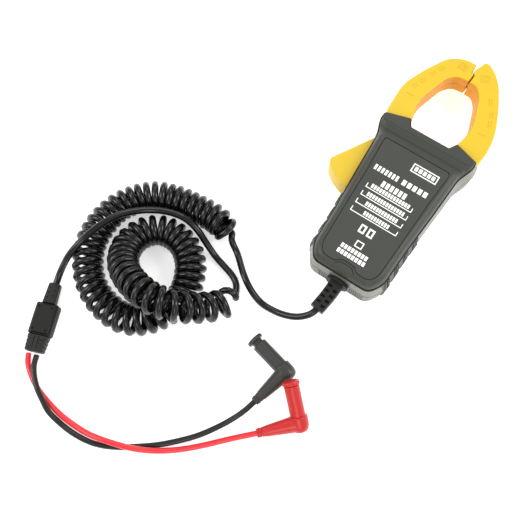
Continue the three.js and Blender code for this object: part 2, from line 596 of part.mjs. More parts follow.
function splitBox() {
  const group = new THREE.Group();
  const [, length, height] = BOX_SIZE;
  group.position.set(...BOX_POSITION);
  group.rotation.z = BOX_TURN;
  group.add(mesh('split_box_top', boxHalf(true), blackRubber));
  group.add(mesh('split_box_bottom', boxHalf(false), blackRubber));
  const cordBoot = mesh('split_box_cord_boot', boot(SPLIT_CORD_BOOT), blackRubber);
  cordBoot.rotation.x = -Math.PI / 2;
  cordBoot.position.set(0, length / 2 + GAP, height / 2);
  const leadBoot = mesh('split_box_lead_boot', boot(SPLIT_LEAD_BOOT), blackRubber);
  leadBoot.rotation.x = Math.PI / 2;
  leadBoot.position.set(0, -length / 2 - GAP, height / 2);
  group.add(cordBoot, leadBoot);
  for (const [name, x, material] of [['red_splice', -2.6, leadRed], ['black_splice', 2.6, cordBlack]]) {
    const splice = mesh(name, spliceSleeve(), material);
    splice.position.set(x, 0, height / 2);
    group.add(splice);
  }
  return group;
}

// A plug lies with its shroud along +X and its boot along +Y, and its elbow at the origin.
function plugBody() {
  const shroud = turned([
    [0, 0], [PLUG_SHROUD_RADIUS, 0], [PLUG_SHROUD_RADIUS, PLUG_SHROUD_LENGTH], [0, PLUG_SHROUD_LENGTH],
  ], 'x', 24);
  const r = PLUG_ELBOW_RADIUS;
  const elbow = turned([[0, -r], [r * 0.55, -r * 0.94], [r * 0.88, -r * 0.7], [r, -r * 0.3], [r, 3.6],
    [r * 0.93, 4.4], [0, 4.4]], 'x', 24);
  const strain = turned([[0, 0], [4.7, 0], [4.7, 5], [2.9, PLUG_BOOT_LENGTH], [0, PLUG_BOOT_LENGTH]], 'y', 20);
  const bore = turned([[0, 3], [PLUG_BORE_RADIUS, 3], [PLUG_BORE_RADIUS, 40], [0, 40]], 'x', 24);
  return cut(join(shroud, elbow, strain), bore);
}

const plugPin = () => turned([[0, 3 + GAP], [1.9, 3 + GAP], [1.9, 20.6], [1.1, 22.4], [0, 22.4]], 'x', 16);

function plugCap() {
  const inner = PLUG_BORE_RADIUS - GAP;
  const flangeStart = PLUG_SHROUD_LENGTH + GAP;
  const flangeEnd = flangeStart + CAP_FLANGE_THICKNESS;
  const outside = turned([
    [0, flangeStart - CAP_NECK_LENGTH], [inner, flangeStart - CAP_NECK_LENGTH], [inner, flangeStart],
    [CAP_FLANGE_RADIUS, flangeStart], [CAP_FLANGE_RADIUS, flangeEnd - 0.5],
    [CAP_FLANGE_RADIUS - 0.5, flangeEnd], [0, flangeEnd],
  ], 'x', 28);
  const bore = turned([[0, 0], [2.3, 0], [2.3, flangeStart], [0, flangeStart]], 'x', 16);
  return cut(outside, bore);
}

function plug(colour, { elbow, turn, tilt, capOut }, material) {
  const group = new THREE.Group();
  group.position.set(...elbow);
  group.rotation.set(0, -tilt, turn, 'ZYX');
  group.add(mesh(`${colour}_plug_body`, plugBody(), material));
  group.add(mesh(`${colour}_plug_pin`, plugPin(), brass));
  const cap = mesh(`${colour}_plug_cap`, plugCap(), material);
  cap.position.x = capOut;
  group.add(cap);
  return group;
}

const BLACK_PLUG = { elbow: [8.4, -142.3, 5.7], turn: 2.91, tilt: 0, capOut: 2.3 };
const RED_PLUG = { elbow: [31.6, -163.4, 5.7], turn: 2.38, tilt: 0.385, capOut: 0 };

// ---- assembly -----------------------------------------------------------------------------------
function clampCase() {
  const group = new THREE.Group();
  group.position.set(...CASE_POSITION);
  const label = slab(outline(LABEL), CASE_HEIGHT - LABEL_THICKNESS + GAP, CASE_HEIGHT + 0.1);
  group.add(mesh('front_cover', frontCover(), charcoal));
  group.add(mesh('back_cover', backCover(), charcoal));
  group.add(mesh('front_label', label, labelGrey));
  SCREW_PLACES.forEach((place, index) => {
    group.add(mesh(`case_screw_${index + 1}`, caseScrew(place), steel));
  });
  group.add(mesh('strain_relief', strainRelief(), blackRubber));
  group.add(mesh('fixed_jaw_front', jawShell(FIXED_JAW, true, fixedJawOpenings), yellow));
  group.add(mesh('fixed_jaw_back', jawShell(FIXED_JAW, false, fixedJawOpenings), yellow));
  group.add(mesh('fixed_core', core(FIXED_CORE_PATH), coreSteel));
  group.add(mesh('moving_jaw_front', jawShell(MOVING_JAW, true, movingJawOpenings), yellow));
  group.add(mesh('moving_jaw_back', jawShell(MOVING_JAW, false, movingJawOpenings), yellow));
  group.add(mesh('moving_core', core(MOVING_CORE_PATH), coreSteel));
  group.add(mesh('trigger', trigger(), yellow));
  group.add(mesh('pivot_pin', pivotPin(), steel));
  group.add(mesh('return_spring', returnSpring(), steel));
  group.add(mesh('coil_bobbin', coilBobbin(), nylon));
  group.add(mesh('coil_winding', coilWinding(), copper));
  group.add(mesh('circuit_board', circuitBoard(), boardGreen));
  group.add(mesh('burden_resistor', burdenResistor(), nylon));
  group.add(mesh('limiter_diode', limiterDiode(), blackRubber));
  for (const [name, { route, material }] of Object.entries(WIRES)) {
    group.add(mesh(name, tube(route, 0.6, 6, 8), material));
  }
  return group;
}

const currentClamp = new THREE.Group();
currentClamp.add(clampCase());
currentClamp.add(mesh('case_cord', tube(CASE_CORD_ROUTE, CORD_RADIUS, 8, 11), cordBlack));
currentClamp.add(mesh('curly_cord', tube(COIL_ROUTE, COIL_RADIUS, 10, 38), cordBlack));
currentClamp.add(mesh('box_cord', tube(BOX_CORD_ROUTE, CORD_RADIUS, 8, 16), cordBlack));
currentClamp.add(splitBox());
currentClamp.add(mesh('black_lead', tube(BLACK_LEAD_ROUTE, LEAD_RADIUS, 8, 20), cordBlack));
currentClamp.add(mesh('red_lead', tube(RED_LEAD_ROUTE, LEAD_RADIUS, 8, 20), leadRed));
currentClamp.add(plug('black', BLACK_PLUG, blackRubber));
currentClamp.add(plug('red', RED_PLUG, plugRed));

export default currentClamp;
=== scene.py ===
"""A current clamp lying on its back, with its curly cord, split box and two plug leads.

Shapes are worked out in millimetres and written in metres. Case pieces are drawn about the case's own
centre plane, CASE_PLACE from the part's origin. Cords, split box and plugs are drawn in the part's frame.
"""

import math

import bmesh
import bpy
from mathutils import Matrix, Vector


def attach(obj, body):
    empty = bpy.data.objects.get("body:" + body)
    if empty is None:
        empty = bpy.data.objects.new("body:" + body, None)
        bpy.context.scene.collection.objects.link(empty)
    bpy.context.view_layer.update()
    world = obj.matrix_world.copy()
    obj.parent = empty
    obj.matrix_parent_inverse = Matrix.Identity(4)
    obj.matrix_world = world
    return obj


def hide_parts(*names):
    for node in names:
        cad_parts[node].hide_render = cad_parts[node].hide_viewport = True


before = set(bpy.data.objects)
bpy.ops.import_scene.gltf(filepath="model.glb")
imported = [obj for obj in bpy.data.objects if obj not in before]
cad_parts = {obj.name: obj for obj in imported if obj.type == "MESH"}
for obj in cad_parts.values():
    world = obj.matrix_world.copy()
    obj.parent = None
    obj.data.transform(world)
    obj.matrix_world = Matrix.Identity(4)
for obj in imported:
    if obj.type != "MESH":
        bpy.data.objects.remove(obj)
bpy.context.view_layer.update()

MM = 0.001
CASE_PLACE = Vector((6, 5.4, 0))

# ---- camera ----
CAMERA_AZIMUTH = math.radians(33.27)
CAMERA_ELEVATION = math.radians(72.03)
CAMERA_PLACE = (0.03514, -0.21028, 0.44319)


def add_camera():
    data = bpy.data.cameras.new("camera")
    data.lens = 50
    data.sensor_width = 36
    data.clip_start = 0.01
    camera = bpy.data.objects.new("camera", data)
    camera.location = CAMERA_PLACE
    camera.rotation_euler = (math.pi / 2 - CAMERA_ELEVATION, 0, CAMERA_AZIMUTH)
    bpy.context.scene.collection.objects.link(camera)
    bpy.context.scene.camera = camera


def set_plain_colours():
    """Shows colours as they are, without a film look."""
    bpy.context.scene.view_settings.view_transform = "Standard"


add_camera()
set_plain_colours()


# ---- materials ----
def srgb(code):
    def linear(channel):
        value = int(code[channel : channel + 2], 16) / 255
        return value / 12.92 if value <= 0.04045 else ((value + 0.055) / 1.055) ** 2.4

    return (linear(1), linear(3), linear(5), 1)


def moulded(name, color, roughness, spread=0.08, grain=900, bump=0.12, specular=0.5, metallic=0.0, patch=35):
    """A moulded surface: slight mottling of its colour and roughness, and a fine grain."""
    material = bpy.data.materials.new(name)
    material.use_nodes = True
    nodes = material.node_tree.nodes
    links = material.node_tree.links
    shader = nodes["Principled BSDF"]
    place = nodes.new("ShaderNodeTexCoord")
    mottle = nodes.new("ShaderNodeTexNoise")
    mottle.inputs["Scale"].default_value = patch
    mottle.inputs["Detail"].default_value = 6
    links.new(place.outputs["Object"], mottle.inputs["Vector"])
    tint = nodes.new("ShaderNodeMix")
    tint.data_type = "RGBA"
    base = srgb(color)
    tint.inputs["A"].default_value = tuple(c * (1 - spread) for c in base[:3]) + (1,)
    tint.inputs["B"].default_value = tuple(min(1, c * (1 + spread)) for c in base[:3]) + (1,)
    links.new(mottle.outputs["Fac"], tint.inputs["Factor"])
    links.new(tint.outputs["Result"], shader.inputs["Base Color"])
    fine = nodes.new("ShaderNodeTexNoise")
    fine.inputs["Scale"].default_value = grain
    fine.inputs["Detail"].default_value = 3
    links.new(place.outputs["Object"], fine.inputs["Vector"])
    gloss = nodes.new("ShaderNodeMapRange")
    gloss.inputs["To Min"].default_value = max(0.02, roughness - 0.06)
    gloss.inputs["To Max"].default_value = min(1, roughness + 0.06)
    links.new(fine.outputs["Fac"], gloss.inputs["Value"])
    links.new(gloss.outputs["Result"], shader.inputs["Roughness"])
    relief = nodes.new("ShaderNodeBump")
    relief.inputs["Strength"].default_value = bump
    relief.inputs["Distance"].default_value = 0.0001
    links.new(fine.outputs["Fac"], relief.inputs["Height"])
    links.new(relief.outputs["Normal"], shader.inputs["Normal"])
    shader.inputs["Metallic"].default_value = metallic
    shader.inputs["Specular IOR Level"].default_value = specular
    return material


def banded(name, color, dark, roughness, bands, axis=2, metallic=0.0):
    """Fine parallel bands, as on stacked laminations or a wound coil."""
    material = moulded(name, color, roughness, metallic=metallic)
    nodes = material.node_tree.nodes
    links = material.node_tree.links
    shader = nodes["Principled BSDF"]
    wave = nodes.new("ShaderNodeTexWave")
    wave.bands_direction = "XYZ"[axis]
    wave.inputs["Scale"].default_value = bands
    place = next(n for n in nodes if n.bl_idname == "ShaderNodeTexCoord")
    links.new(place.outputs["Object"], wave.inputs["Vector"])
    mix = nodes.new("ShaderNodeMix")
    mix.data_type = "RGBA"
    mix.inputs["A"].default_value = srgb(dark)
    mix.inputs["B"].default_value = srgb(color)
    links.new(wave.outputs["Fac"], mix.inputs["Factor"])
    links.new(mix.outputs["Result"], shader.inputs["Base Color"])
    return material


CASE_FINISH = moulded("case_plastic", "#30332c", 0.5, spread=0.06, grain=1400, bump=0.35)
# Painted reflection: the back cover is given a paler grey than its dark plastic, standing in for the white
# floor reflected in its sides.
BACK_PAINTED_REFLECTION_FINISH = moulded("back_painted_reflection", "#5c5d54", 0.4, spread=0.05, grain=1400, bump=0.35)
LABEL_FINISH = moulded("label_plastic", "#32352e", 0.55, spread=0.05, grain=2200, bump=0.2)
INK_FINISH = moulded("label_ink", "#f6f6f2", 0.6, spread=0.01, grain=2500, bump=0.05)
JAW_FINISH = moulded("jaw_plastic", "#d2b01a", 0.42, spread=0.03, grain=1200, bump=0.15)
RUBBER_FINISH = moulded("cord_boot", "#1a1b18", 0.5, specular=0.3, spread=0.1, grain=900, bump=0.25)
CORD_FINISH = moulded("cord_sheath", "#080807", 0.24, specular=0.4, spread=0.1, grain=600, bump=0.06)
LEAD_FINISH = moulded("black_lead", "#161714", 0.32, specular=0.4, spread=0.1, grain=600, bump=0.06)
RED_LEAD_FINISH = moulded("red_lead", "#dc2630", 0.3, spread=0.05, grain=600, bump=0.06)
BLACK_PLUG_FINISH = moulded("black_plug", "#2c2d29", 0.42, spread=0.08, grain=1100, bump=0.2)
RED_PLUG_FINISH = moulded("red_plug", "#b81a18", 0.36, spread=0.04, grain=1100, bump=0.15)
BOX_FINISH = moulded("box_plastic", "#171815", 0.5, specular=0.22, spread=0.08, grain=1100, bump=0.3)
STEEL_FINISH = moulded("steel", "#a8aaad", 0.3, spread=0.08, grain=500, bump=0.08, metallic=1)
CORE_FINISH = banded("core_steel", "#8a8d91", "#3a3c3f", 0.4, 250, metallic=1)
COPPER_FINISH = banded("copper", "#b5652c", "#6a3413", 0.35, 320, axis=0, metallic=1)
NYLON_FINISH = moulded("bobbin_nylon", "#e8e4d4", 0.55, spread=0.03)
BOARD_FINISH = moulded("board", "#1f6b3c", 0.4, spread=0.12, grain=300, bump=0.1)
RESISTOR_FINISH = moulded("resistor_ceramic", "#d9c9a0", 0.5, spread=0.05)
PIN_FINISH = moulded("pin_metal", "#cfb878", 0.25, spread=0.05, grain=500, bump=0.05, metallic=1)

# Painted reflection: a paler grey for the front cover's lower side walls, standing in for the white floor
# reflected in them.
CASE_SIDE_PAINTED_REFLECTION_FINISH = moulded("case_side_painted_reflection", "#6c6d64", 0.38, spread=0.05, grain=1400, bump=0.3)
# Painted shade: a deeper orange copy of the jaw plastic for the jaws' inner walls, standing in for the shade
# round the window.
JAW_PAINTED_SHADE_FINISH = moulded("jaw_inside_painted_shade", "#dd9206", 0.42, spread=0.03, grain=1200, bump=0.15)

CAD_FINISHES = {
    "fixed_core": CORE_FINISH, "moving_core": CORE_FINISH, "pivot_pin": STEEL_FINISH,
    "return_spring": STEEL_FINISH, "coil_bobbin": NYLON_FINISH, "coil_winding": COPPER_FINISH,
    "circuit_board": BOARD_FINISH, "burden_resistor": RESISTOR_FINISH, "limiter_diode": RUBBER_FINISH,
    "coil_wire_left": COPPER_FINISH, "coil_wire_right": COPPER_FINISH, "output_wire_red": RED_LEAD_FINISH,
    "output_wire_black": LEAD_FINISH, "red_splice": RED_LEAD_FINISH, "black_splice": LEAD_FINISH,
    "black_plug_pin": PIN_FINISH, "red_plug_pin": PIN_FINISH,
}


def finish_cad_nodes():
    for name, material in CAD_FINISHES.items():
        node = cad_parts[name]
        node.data.materials.clear()
        node.data.materials.append(material)


# ---- cords ----
CORD_DIAMETER = 4.4
LEAD_DIAMETER = 3.5
COIL_PITCH = 5.5
PITCH_CHANGE = 0.1  # share by which the pitch wanders along the coil
PITCH_WAVE = 31
LOOSE_LENGTH = 62  # the coil's last stretch before the box cord, where its turns open up
LOOSE_CHANGE = 0.9
RADIUS_CHANGE = 0.025
RADIUS_WAVE = 9.7
EASED_REACH = 16  # how far from the coil's ends the cord's bends are eased
EASING_ROUNDS = 8
HELIX_RADIUS = 7.9
POINTS_PER_TURN = 20
AXIS_STEP = 0.2
LEAD_STEP = 2
RAMP = 8  # length of axis over which the coil opens to its full radius

CASE_CORD_ROUTE = [
    (4.4, -100, 15.5), (4, -102.1, 15.4), (3.6, -103.8, 15), (1.2, -107.2, 13.2),
    (-3.8, -110.6, 9.4), (-10.6, -112.8, 5.8),
    (-18.8, -113.9, 3.4), (-27.5, -113.9, 2.8), (-35.5, -112, 5.2), (-42.2, -108.6, 7.2),
    (-48.6, -103.8, 6.4), (-54.6, -98.4, 4), (-60.4, -93.4, 3), (-66, -90.7, 4.8),
]
COIL_ROUTE = [
    (-75, -87, 10.5), (-83.5, -85.2, 10.3), (-95.6, -86, 10.3), (-108.9, -88.2, 10.3),
    (-121.6, -92.8, 10.3), (-131.2, -100.8, 10.3), (-138.2, -112.3, 10.3), (-140.6, -126, 10.3),
    (-139, -139.8, 10.3), (-133.8, -151, 10.3), (-125.5, -160.4, 10.3), (-114.8, -167, 10.3),
    (-102.8, -170, 10.3), (-91.2, -169.4, 10.3), (-81.2, -163.8, 10.3), (-74.4, -155, 10.3),
    (-70.6, -144.6, 10.3), (-70.6, -134.6, 10.3), (-73.8, -125, 10.3), (-79.6, -116.6, 10.3),
    (-88.4, -110.8, 10.3), (-99, -109, 10.3), (-109.2, -112.4, 10.3), (-115.8, -120.8, 10.5),
    (-117.2, -131, 11.6), (-112.6, -140.6, 16.5), (-103.4, -147.8, 24), (-90.6, -152.2, 30.5),
    (-77.8, -153.2, 32.6), (-66, -149.4, 30), (-56, -142, 22), (-48.4, -133, 14), (-45, -126.6, 10.8),
]
BOX_CORD_ROUTE = [
    (-44.4, -119.6, 4.6), (-45, -115.6, 2.8), (-48, -111.4, 2.5), (-53.4, -108.8, 2.5),
    (-60.8, -106.6, 2.5), (-69.6, -104.2, 3), (-78, -101.4, 8.6), (-86, -98.9, 15.4),
    (-95.4, -97.8, 18.6), (-105.4, -99.5, 18.8), (-115, -104, 19.2), (-123.4, -110.9, 20.6),
    (-130.8, -120.6, 22.8), (-135.8, -133, 24), (-139, -146.4, 23.4), (-142, -157, 17.6),
    (-143.8, -165.6, 8.8), (-142.8, -172.8, 5.4), (-141.5, -177.4, 4.8),
]
BLACK_LEAD_ROUTE = [
    (-124.2, -217.1, 4.2), (-121.4, -222.6, 5.4), (-116.6, -228, 6), (-110.4, -232.8, 6),
    (-104.2, -236.2, 5.4), (-97.2, -239.6, 4.6), (-88.2, -241.4, 1.9), (-77.8, -241.8, 1.9),
    (-67.4, -240.6, 1.9), (-59.2, -238, 1.9), (-51, -233.8, 1.9), (-43.4, -228.6, 1.9),
    (-32, -219.8, 1.9), (-22.3, -210.4, 1.9), (-14, -200.8, 1.9), (-5.8, -188, 2.3),
    (-0.2, -176.6, 4.6), (2.4, -167.8, 5.7), (3.1, -164.9, 5.7),
]
RED_LEAD_ROUTE = [
    (-129.4, -218.6, 4.2), (-126.4, -223.8, 2.2), (-120.6, -228.2, 1.9), (-113.8, -231.8, 1.9),
    (-107.4, -234, 1.9), (-99.8, -235.8, 1.9), (-90.8, -237.3, 1.9), (-81, -237.7, 1.9),
    (-71, -237.2, 3.2), (-61.6, -235.4, 5.6), (-52.4, -232.8, 6), (-43.6, -229.8, 6),
    (-34.4, -225.4, 4.8), (-25.6, -219.6, 2.4), (-17.6, -213.2, 1.9), (-8.8, -204.8, 1.9),
    (3, -192.6, 3.4), (13.4, -182.5, 5.7), (15.6, -180.2, 5.7),
]


def smooth_route(route, step):
    """Points about one step apart on a smooth curve through the route's points."""
    points = [Vector(p) for p in route]
    padded = [2 * points[0] - points[1], *points, 2 * points[-1] - points[-2]]
    fine = []
    for a, b, c, d in zip(padded, padded[1:], padded[2:], padded[3:]):
        count = max(2, round((c - b).length / step))
        for index in range(count):
            t = index / count
            bend = (2 * a - 5 * b + 4 * c - d) * t**2 + (3 * b - a - 3 * c + d) * t**3
            fine.append(0.5 * (2 * b + (c - a) * t + bend))
    return [*fine, points[-1]]


def lengths_along(points):
    totals = [0.0]
    for before, after in zip(points, points[1:]):
        totals.append(totals[-1] + (after - before).length)
    return totals


def nearest(points, place):
    return min(range(len(points)), key=lambda index: (points[index] - Vector(place)).length)


def main_cord_points():
    """The cord's centreline: straight from the case, curled round the coil's axis, straight to the box."""
    axis = smooth_route(CASE_CORD_ROUTE + COIL_ROUTE + BOX_CORD_ROUTE, AXIS_STEP)
    along = lengths_along(axis)
    first = nearest(axis, CASE_CORD_ROUTE[-1])
    last = nearest(axis, BOX_CORD_ROUTE[0])
    start = along[first]
    end = along[last]
    normal = Vector((0, 0, 1))
    phase = math.pi
    points = []
    for index, here in enumerate(along[:-1]):
        tangent = (axis[index + 1] - axis[index]).normalized()
        normal = (normal - normal.dot(tangent) * tangent).normalized()
        side = tangent.cross(normal)
        opening = max(0.0, min(1.0, (here - start) / RAMP, (end - here) / RAMP))
        opening = opening * opening * (3 - 2 * opening)
        if opening > 0:
            near_end = max(0.0, 1 - (end - here) / LOOSE_LENGTH)
            pitch = COIL_PITCH * (1 + PITCH_CHANGE * math.sin(here / PITCH_WAVE) + LOOSE_CHANGE * near_end)
            phase += 2 * math.pi * (along[index + 1] - here) / pitch
        radius = HELIX_RADIUS * opening * (1 + RADIUS_CHANGE * math.sin(here / RADIUS_WAVE))
        points.append(axis[index] + radius * (math.cos(phase) * normal + math.sin(phase) * side))
    return eased(thin([*points, axis[-1]]), [axis[first], axis[last]])


def thin(points):
    """Leaves out points that are closer together than a turn's step."""
    step = 2 * math.pi * HELIX_RADIUS / POINTS_PER_TURN
    kept = [points[0]]
    for point in points[1:-1]:
        if (point - kept[-1]).length >= step and (point - points[-1]).length >= step:
            kept.append(point)
    return [*kept, points[-1]]


def eased(points, places):
    """Eases the bends of a cord near the places where its coil begins and ends."""
    for _ in range(EASING_ROUNDS):
        before = list(points)
        for index in range(1, len(points) - 1):
            distance = min((before[index] - place).length for place in places)
            share = max(0, 1 - distance / EASED_REACH) / 2
            points[index] = before[index].lerp((before[index - 1] + before[index + 1]) / 2, share)
    return points


def cord_curve(name, points, diameter, material):
    data = bpy.data.curves.new(name, "CURVE")
    data.dimensions = "3D"
    data.bevel_depth = diameter / 2 * MM
    data.bevel_resolution = 5
    data.use_fill_caps = True
    spline = data.splines.new("POLY")
    spline.points.add(len(points) - 1)
    for target, point in zip(spline.points, points):
        target.co = (*(point * MM), 1)
    spline.use_smooth = True
    data.materials.append(material)
    piece = bpy.data.objects.new(name, data)
    bpy.context.scene.collection.objects.link(piece)
    return piece


def add_cords():
    main = main_cord_points()
    cord = cord_curve("output_cord", main, CORD_DIAMETER, CORD_FINISH)
    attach(cord, "case")
    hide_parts("case_cord", "curly_cord", "box_cord")
    black = smooth_route(BLACK_LEAD_ROUTE, LEAD_STEP)
    black_lead = cord_curve("black_plug_lead", black, LEAD_DIAMETER, LEAD_FINISH)
    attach(black_lead, "case")
    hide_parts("black_lead")
    red = smooth_route(RED_LEAD_ROUTE, LEAD_STEP)
    red_lead = cord_curve("red_plug_lead", red, LEAD_DIAMETER, RED_LEAD_FINISH)
    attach(red_lead, "case")
    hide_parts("red_lead")
    return [(cord, main), (black_lead, black), (red_lead, red)]


CORDS = add_cords()


# ---- shapes ----
def moved(corners, distance):
    """Moves each side of a counter-clockwise outline inwards by that distance."""
    result = []
    count = len(corners)
    for index, (x, y, setback) in enumerate(corners):
        point = Vector((x, y))
        before = Vector(corners[index - 1][:2])
        after = Vector(corners[(index + 1) % count][:2])
        normals = [Vector((a.y - b.y, b.x - a.x)).normalized() for a, b in ((before, point), (point, after))]
        mitre = (normals[0] + normals[1]) * distance / (1 + normals[0].dot(normals[1]))
        result.append((*(point + mitre), setback))
    return result


def outline(corners, inset=0.0, steps=8):
    """The outline's points, with each corner rounded unless its setback is zero."""
    placed = moved(corners, inset)
    points = []
    for index, (x, y, setback) in enumerate(placed):
        corner = Vector((x, y))
        if setback == 0:
            points.append(corner)
            continue
        ends = []
        for other in (placed[index - 1], placed[(index + 1) % len(placed)]):
            side = Vector(other[:2]) - corner
            ends.append(corner + side.normalized() * min(setback, side.length * 0.45))
        for step in range(steps + 1):
            t = step / steps
            points.append(ends[0] * (1 - t) ** 2 + corner * 2 * t * (1 - t) + ends[1] * t**2)
    return points


def rectangle(width, height, setback):
    x = width / 2
    y = height / 2
    return [(-x, -y, setback), (x, -y, setback), (x, y, setback), (-x, y, setback)]


def mirrored(half):
    return half + [(-x, y, setback) for x, y, setback in reversed(half)]


def new_piece(name, mesh_data):
    mesh = bpy.data.meshes.new(name)
    mesh_data.normal_update()
    mesh_data.to_mesh(mesh)
    mesh_data.free()
    piece = bpy.data.objects.new(name, mesh)
    bpy.context.scene.collection.objects.link(piece)
    return piece


def loft(name, levels):
    """A closed body through outlines of equal point count, each at its own height."""
    shape = bmesh.new()
    rings = [[shape.verts.new((p[0], p[1], z)) for p in points] for points, z in levels]
    count = len(rings[0])
    for low, high in zip(rings, rings[1:]):
        for index in range(count):
            after = (index + 1) % count
            shape.faces.new((low[index], low[after], high[after], high[index]))
    shape.faces.new(reversed(rings[0]))
    shape.faces.new(rings[-1])
    return new_piece(name, shape)


def prism(points, bottom, top):
    return loft("tool", [(points, bottom), (points, top)])


def quarter(steps):
    """The angles of a quarter turn."""
    return [math.pi / 2 * step / steps for step in range(steps + 1)]


def lower_round(corners, bottom, edge, steps):
    """The levels of a rounded lower edge."""
    return [(outline(corners, edge * (1 - math.sin(t))), bottom + edge * (1 - math.cos(t)))
            for t in quarter(steps)]


def upper_round(corners, top, edge, steps):
    """The levels of a rounded upper edge."""
    return [(outline(corners, edge * (1 - math.cos(t))), top - edge + edge * math.sin(t))
            for t in quarter(steps)]


def rounded_slab(name, corners, bottom, top, edge, steps, both=True):
    """A slab whose upper edge, and lower edge if both, is a quarter round of that radius."""
    lower = lower_round(corners, bottom, edge, steps) if both else [(outline(corners), bottom)]
    return loft(name, lower + upper_round(corners, top, edge, steps))


def span(side, near, far):
    """The interval between two distances on one side of zero."""
    return sorted((side * near, side * far))


def block(x, y, z, name="tool"):
    return loft(name, [([(x[0], y[0]), (x[1], y[0]), (x[1], y[1]), (x[0], y[1])], level) for level in z])


def rings_about(name, sections):
    """A closed body through rings of points; a ring of one point closes an end."""
    shape = bmesh.new()
    rings = [[shape.verts.new(point) for point in ring] for ring in sections]
    for low, high in zip(rings, rings[1:]):
        count = max(len(low), len(high))
        for index in range(count):
            after = (index + 1) % count
            lower = [low[index % len(low)], low[after % len(low)]]
            upper = [high[after % len(high)], high[index % len(high)]]
            unique = list(dict.fromkeys(lower + upper))
            if len(unique) > 2:
                shape.faces.new(unique)
    for ring, turn in ((rings[0], -1), (rings[-1], 1)):
        if len(ring) > 2:
            shape.faces.new(ring[::turn])
    bmesh.ops.recalc_face_normals(shape, faces=shape.faces)
    return new_piece(name, shape)


def turned(profile, axis, sides=40, name="tool"):
    """A solid of revolution about an axis through the origin; the profile is (radius, place along it)."""
    sections = []
    for radius, along in profile:
        count = sides if radius > 0 else 1
        ring = []
        for index in range(count):
            angle = 2 * math.pi * index / count
            a, b = radius * math.cos(angle), radius * math.sin(angle)
            ring.append({"x": (along, a, b), "y": (b, along, a), "z": (a, b, along)}[axis])
        sections.append(ring)
    return rings_about(name, sections)


def post(place, radius, bottom, top, sides=32):
    piece = turned([(0, bottom), (radius, bottom), (radius, top), (0, top)], "z", sides)
    piece.data.transform(Matrix.Translation((*place, 0)))
    return piece


def applied(piece):
    """The piece with its modifiers made part of its mesh."""
    bpy.context.view_layer.update()
    depsgraph = bpy.context.evaluated_depsgraph_get()
    mesh = bpy.data.meshes.new_from_object(piece.evaluated_get(depsgraph))
    piece.modifiers.clear()
    piece.data = mesh
    return piece


def combined(piece, tools, operation):
    for tool in tools:
        modifier = piece.modifiers.new("part", "BOOLEAN")
        modifier.operation = operation
        modifier.solver = "EXACT"
        modifier.object = tool
    applied(piece)
    for tool in tools:
        bpy.data.objects.remove(tool)
    return piece


def cut(piece, *tools):
    return combined(piece, tools, "DIFFERENCE")


def join(piece, *tools):
    return combined(piece, tools, "UNION")


def softened(piece, width, segments=2, angle=38):
    """Rounds the piece's sharp edges."""
    shape = bmesh.new()
    shape.from_mesh(piece.data)
    bmesh.ops.remove_doubles(shape, verts=shape.verts, dist=0.004)
    bmesh.ops.dissolve_degenerate(shape, edges=shape.edges, dist=0.004)
    shape.to_mesh(piece.data)
    shape.free()
    modifier = piece.modifiers.new("edges", "BEVEL")
    modifier.width = width
    modifier.segments = segments
    modifier.limit_method = "ANGLE"
    modifier.angle_limit = math.radians(angle)
    modifier.use_clamp_overlap = True
    modifier.miter_outer = "MITER_ARC"
    return applied(piece)


def finished(piece, name, body, material, nodes=(), place=CASE_PLACE, matrix=None, angle=35):
    """Scales a piece to metres, puts it in its place, and hands it to its body."""
    piece.name = name
    piece.data.name = name
    where = matrix if matrix is not None else Matrix.Translation(place)
    piece.data.transform(Matrix.Scale(MM, 4) @ where)
    piece.data.materials.clear()
    piece.data.materials.append(material)
    for polygon in piece.data.polygons:
        polygon.material_index = 0
    piece.data.shade_smooth()
    piece.data.set_sharp_from_angle(angle=math.radians(angle))
    weighted = piece.modifiers.new("shading", "WEIGHTED_NORMAL")
    weighted.keep_sharp = True
    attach(piece, body)
    if nodes:
        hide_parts(*nodes)
    return piece


def finish_faces(piece, material, chosen):
    """Gives a second finish to the faces for which chosen(centre, normal) holds, in the case's frame."""
    piece.data.materials.append(material)
    for face in piece.data.polygons:
        if chosen(face.center / MM - CASE_PLACE, face.normal):
            face.material_index = 1


# ---- case ----
CASE_HEIGHT = 34
SEAM_Z = 17
WALL = 2.4
GAP = 0.3
HORN_TOP_Z = 29.5
JAW_BOTTOM_Z = 9.5
JAW_TOP_Z = 25.2
JAW_MIDDLE_Z = (JAW_BOTTOM_Z + JAW_TOP_Z) / 2
JAW_WALL = 2
JAW_EDGE = 1.1
JAW_SEAM_EDGE = 0.12
PIVOT = (-21.5, 8.5)
SLOT_BOTTOM_Y = -36.5
SCREW_PLACES = [(-19, -70), (19, -70), (-6.5, 3), (24, -4)]
LABEL_THICKNESS = 0.8
LABEL_PROUD = 0.12
LABEL_GROOVE = 0.42
ARCH_GROOVE = 0.4
SEAM_EDGE = 0.3
PIN_BOSS_RADIUS = 4
PIN_BOSS_TOP_Z = 29.8
SCREW_RADIUS = 1.45
SCREW_HEAD_RADIUS = 2.8
SCREW_HEAD_Z = (1.2, 3.2)
SCREW_TIP_Z = 27
SCREW_POST_RADIUS = 4.2
BACK_EDGE = [(4.4, 0), (3.2, 0.25), (2.3, 0.9), (1.6, 2), (1.1, 3.4), (0.7, 5)]  # inset, height
TOOTH_GROUPS = [(-13, 4), (8.6, 7)]  # first tooth gap in the lower end, and how many
TOOTH_GAP = 0.7
TOOTH_PITCH = 1.4
LABEL_EDGE = 0.3

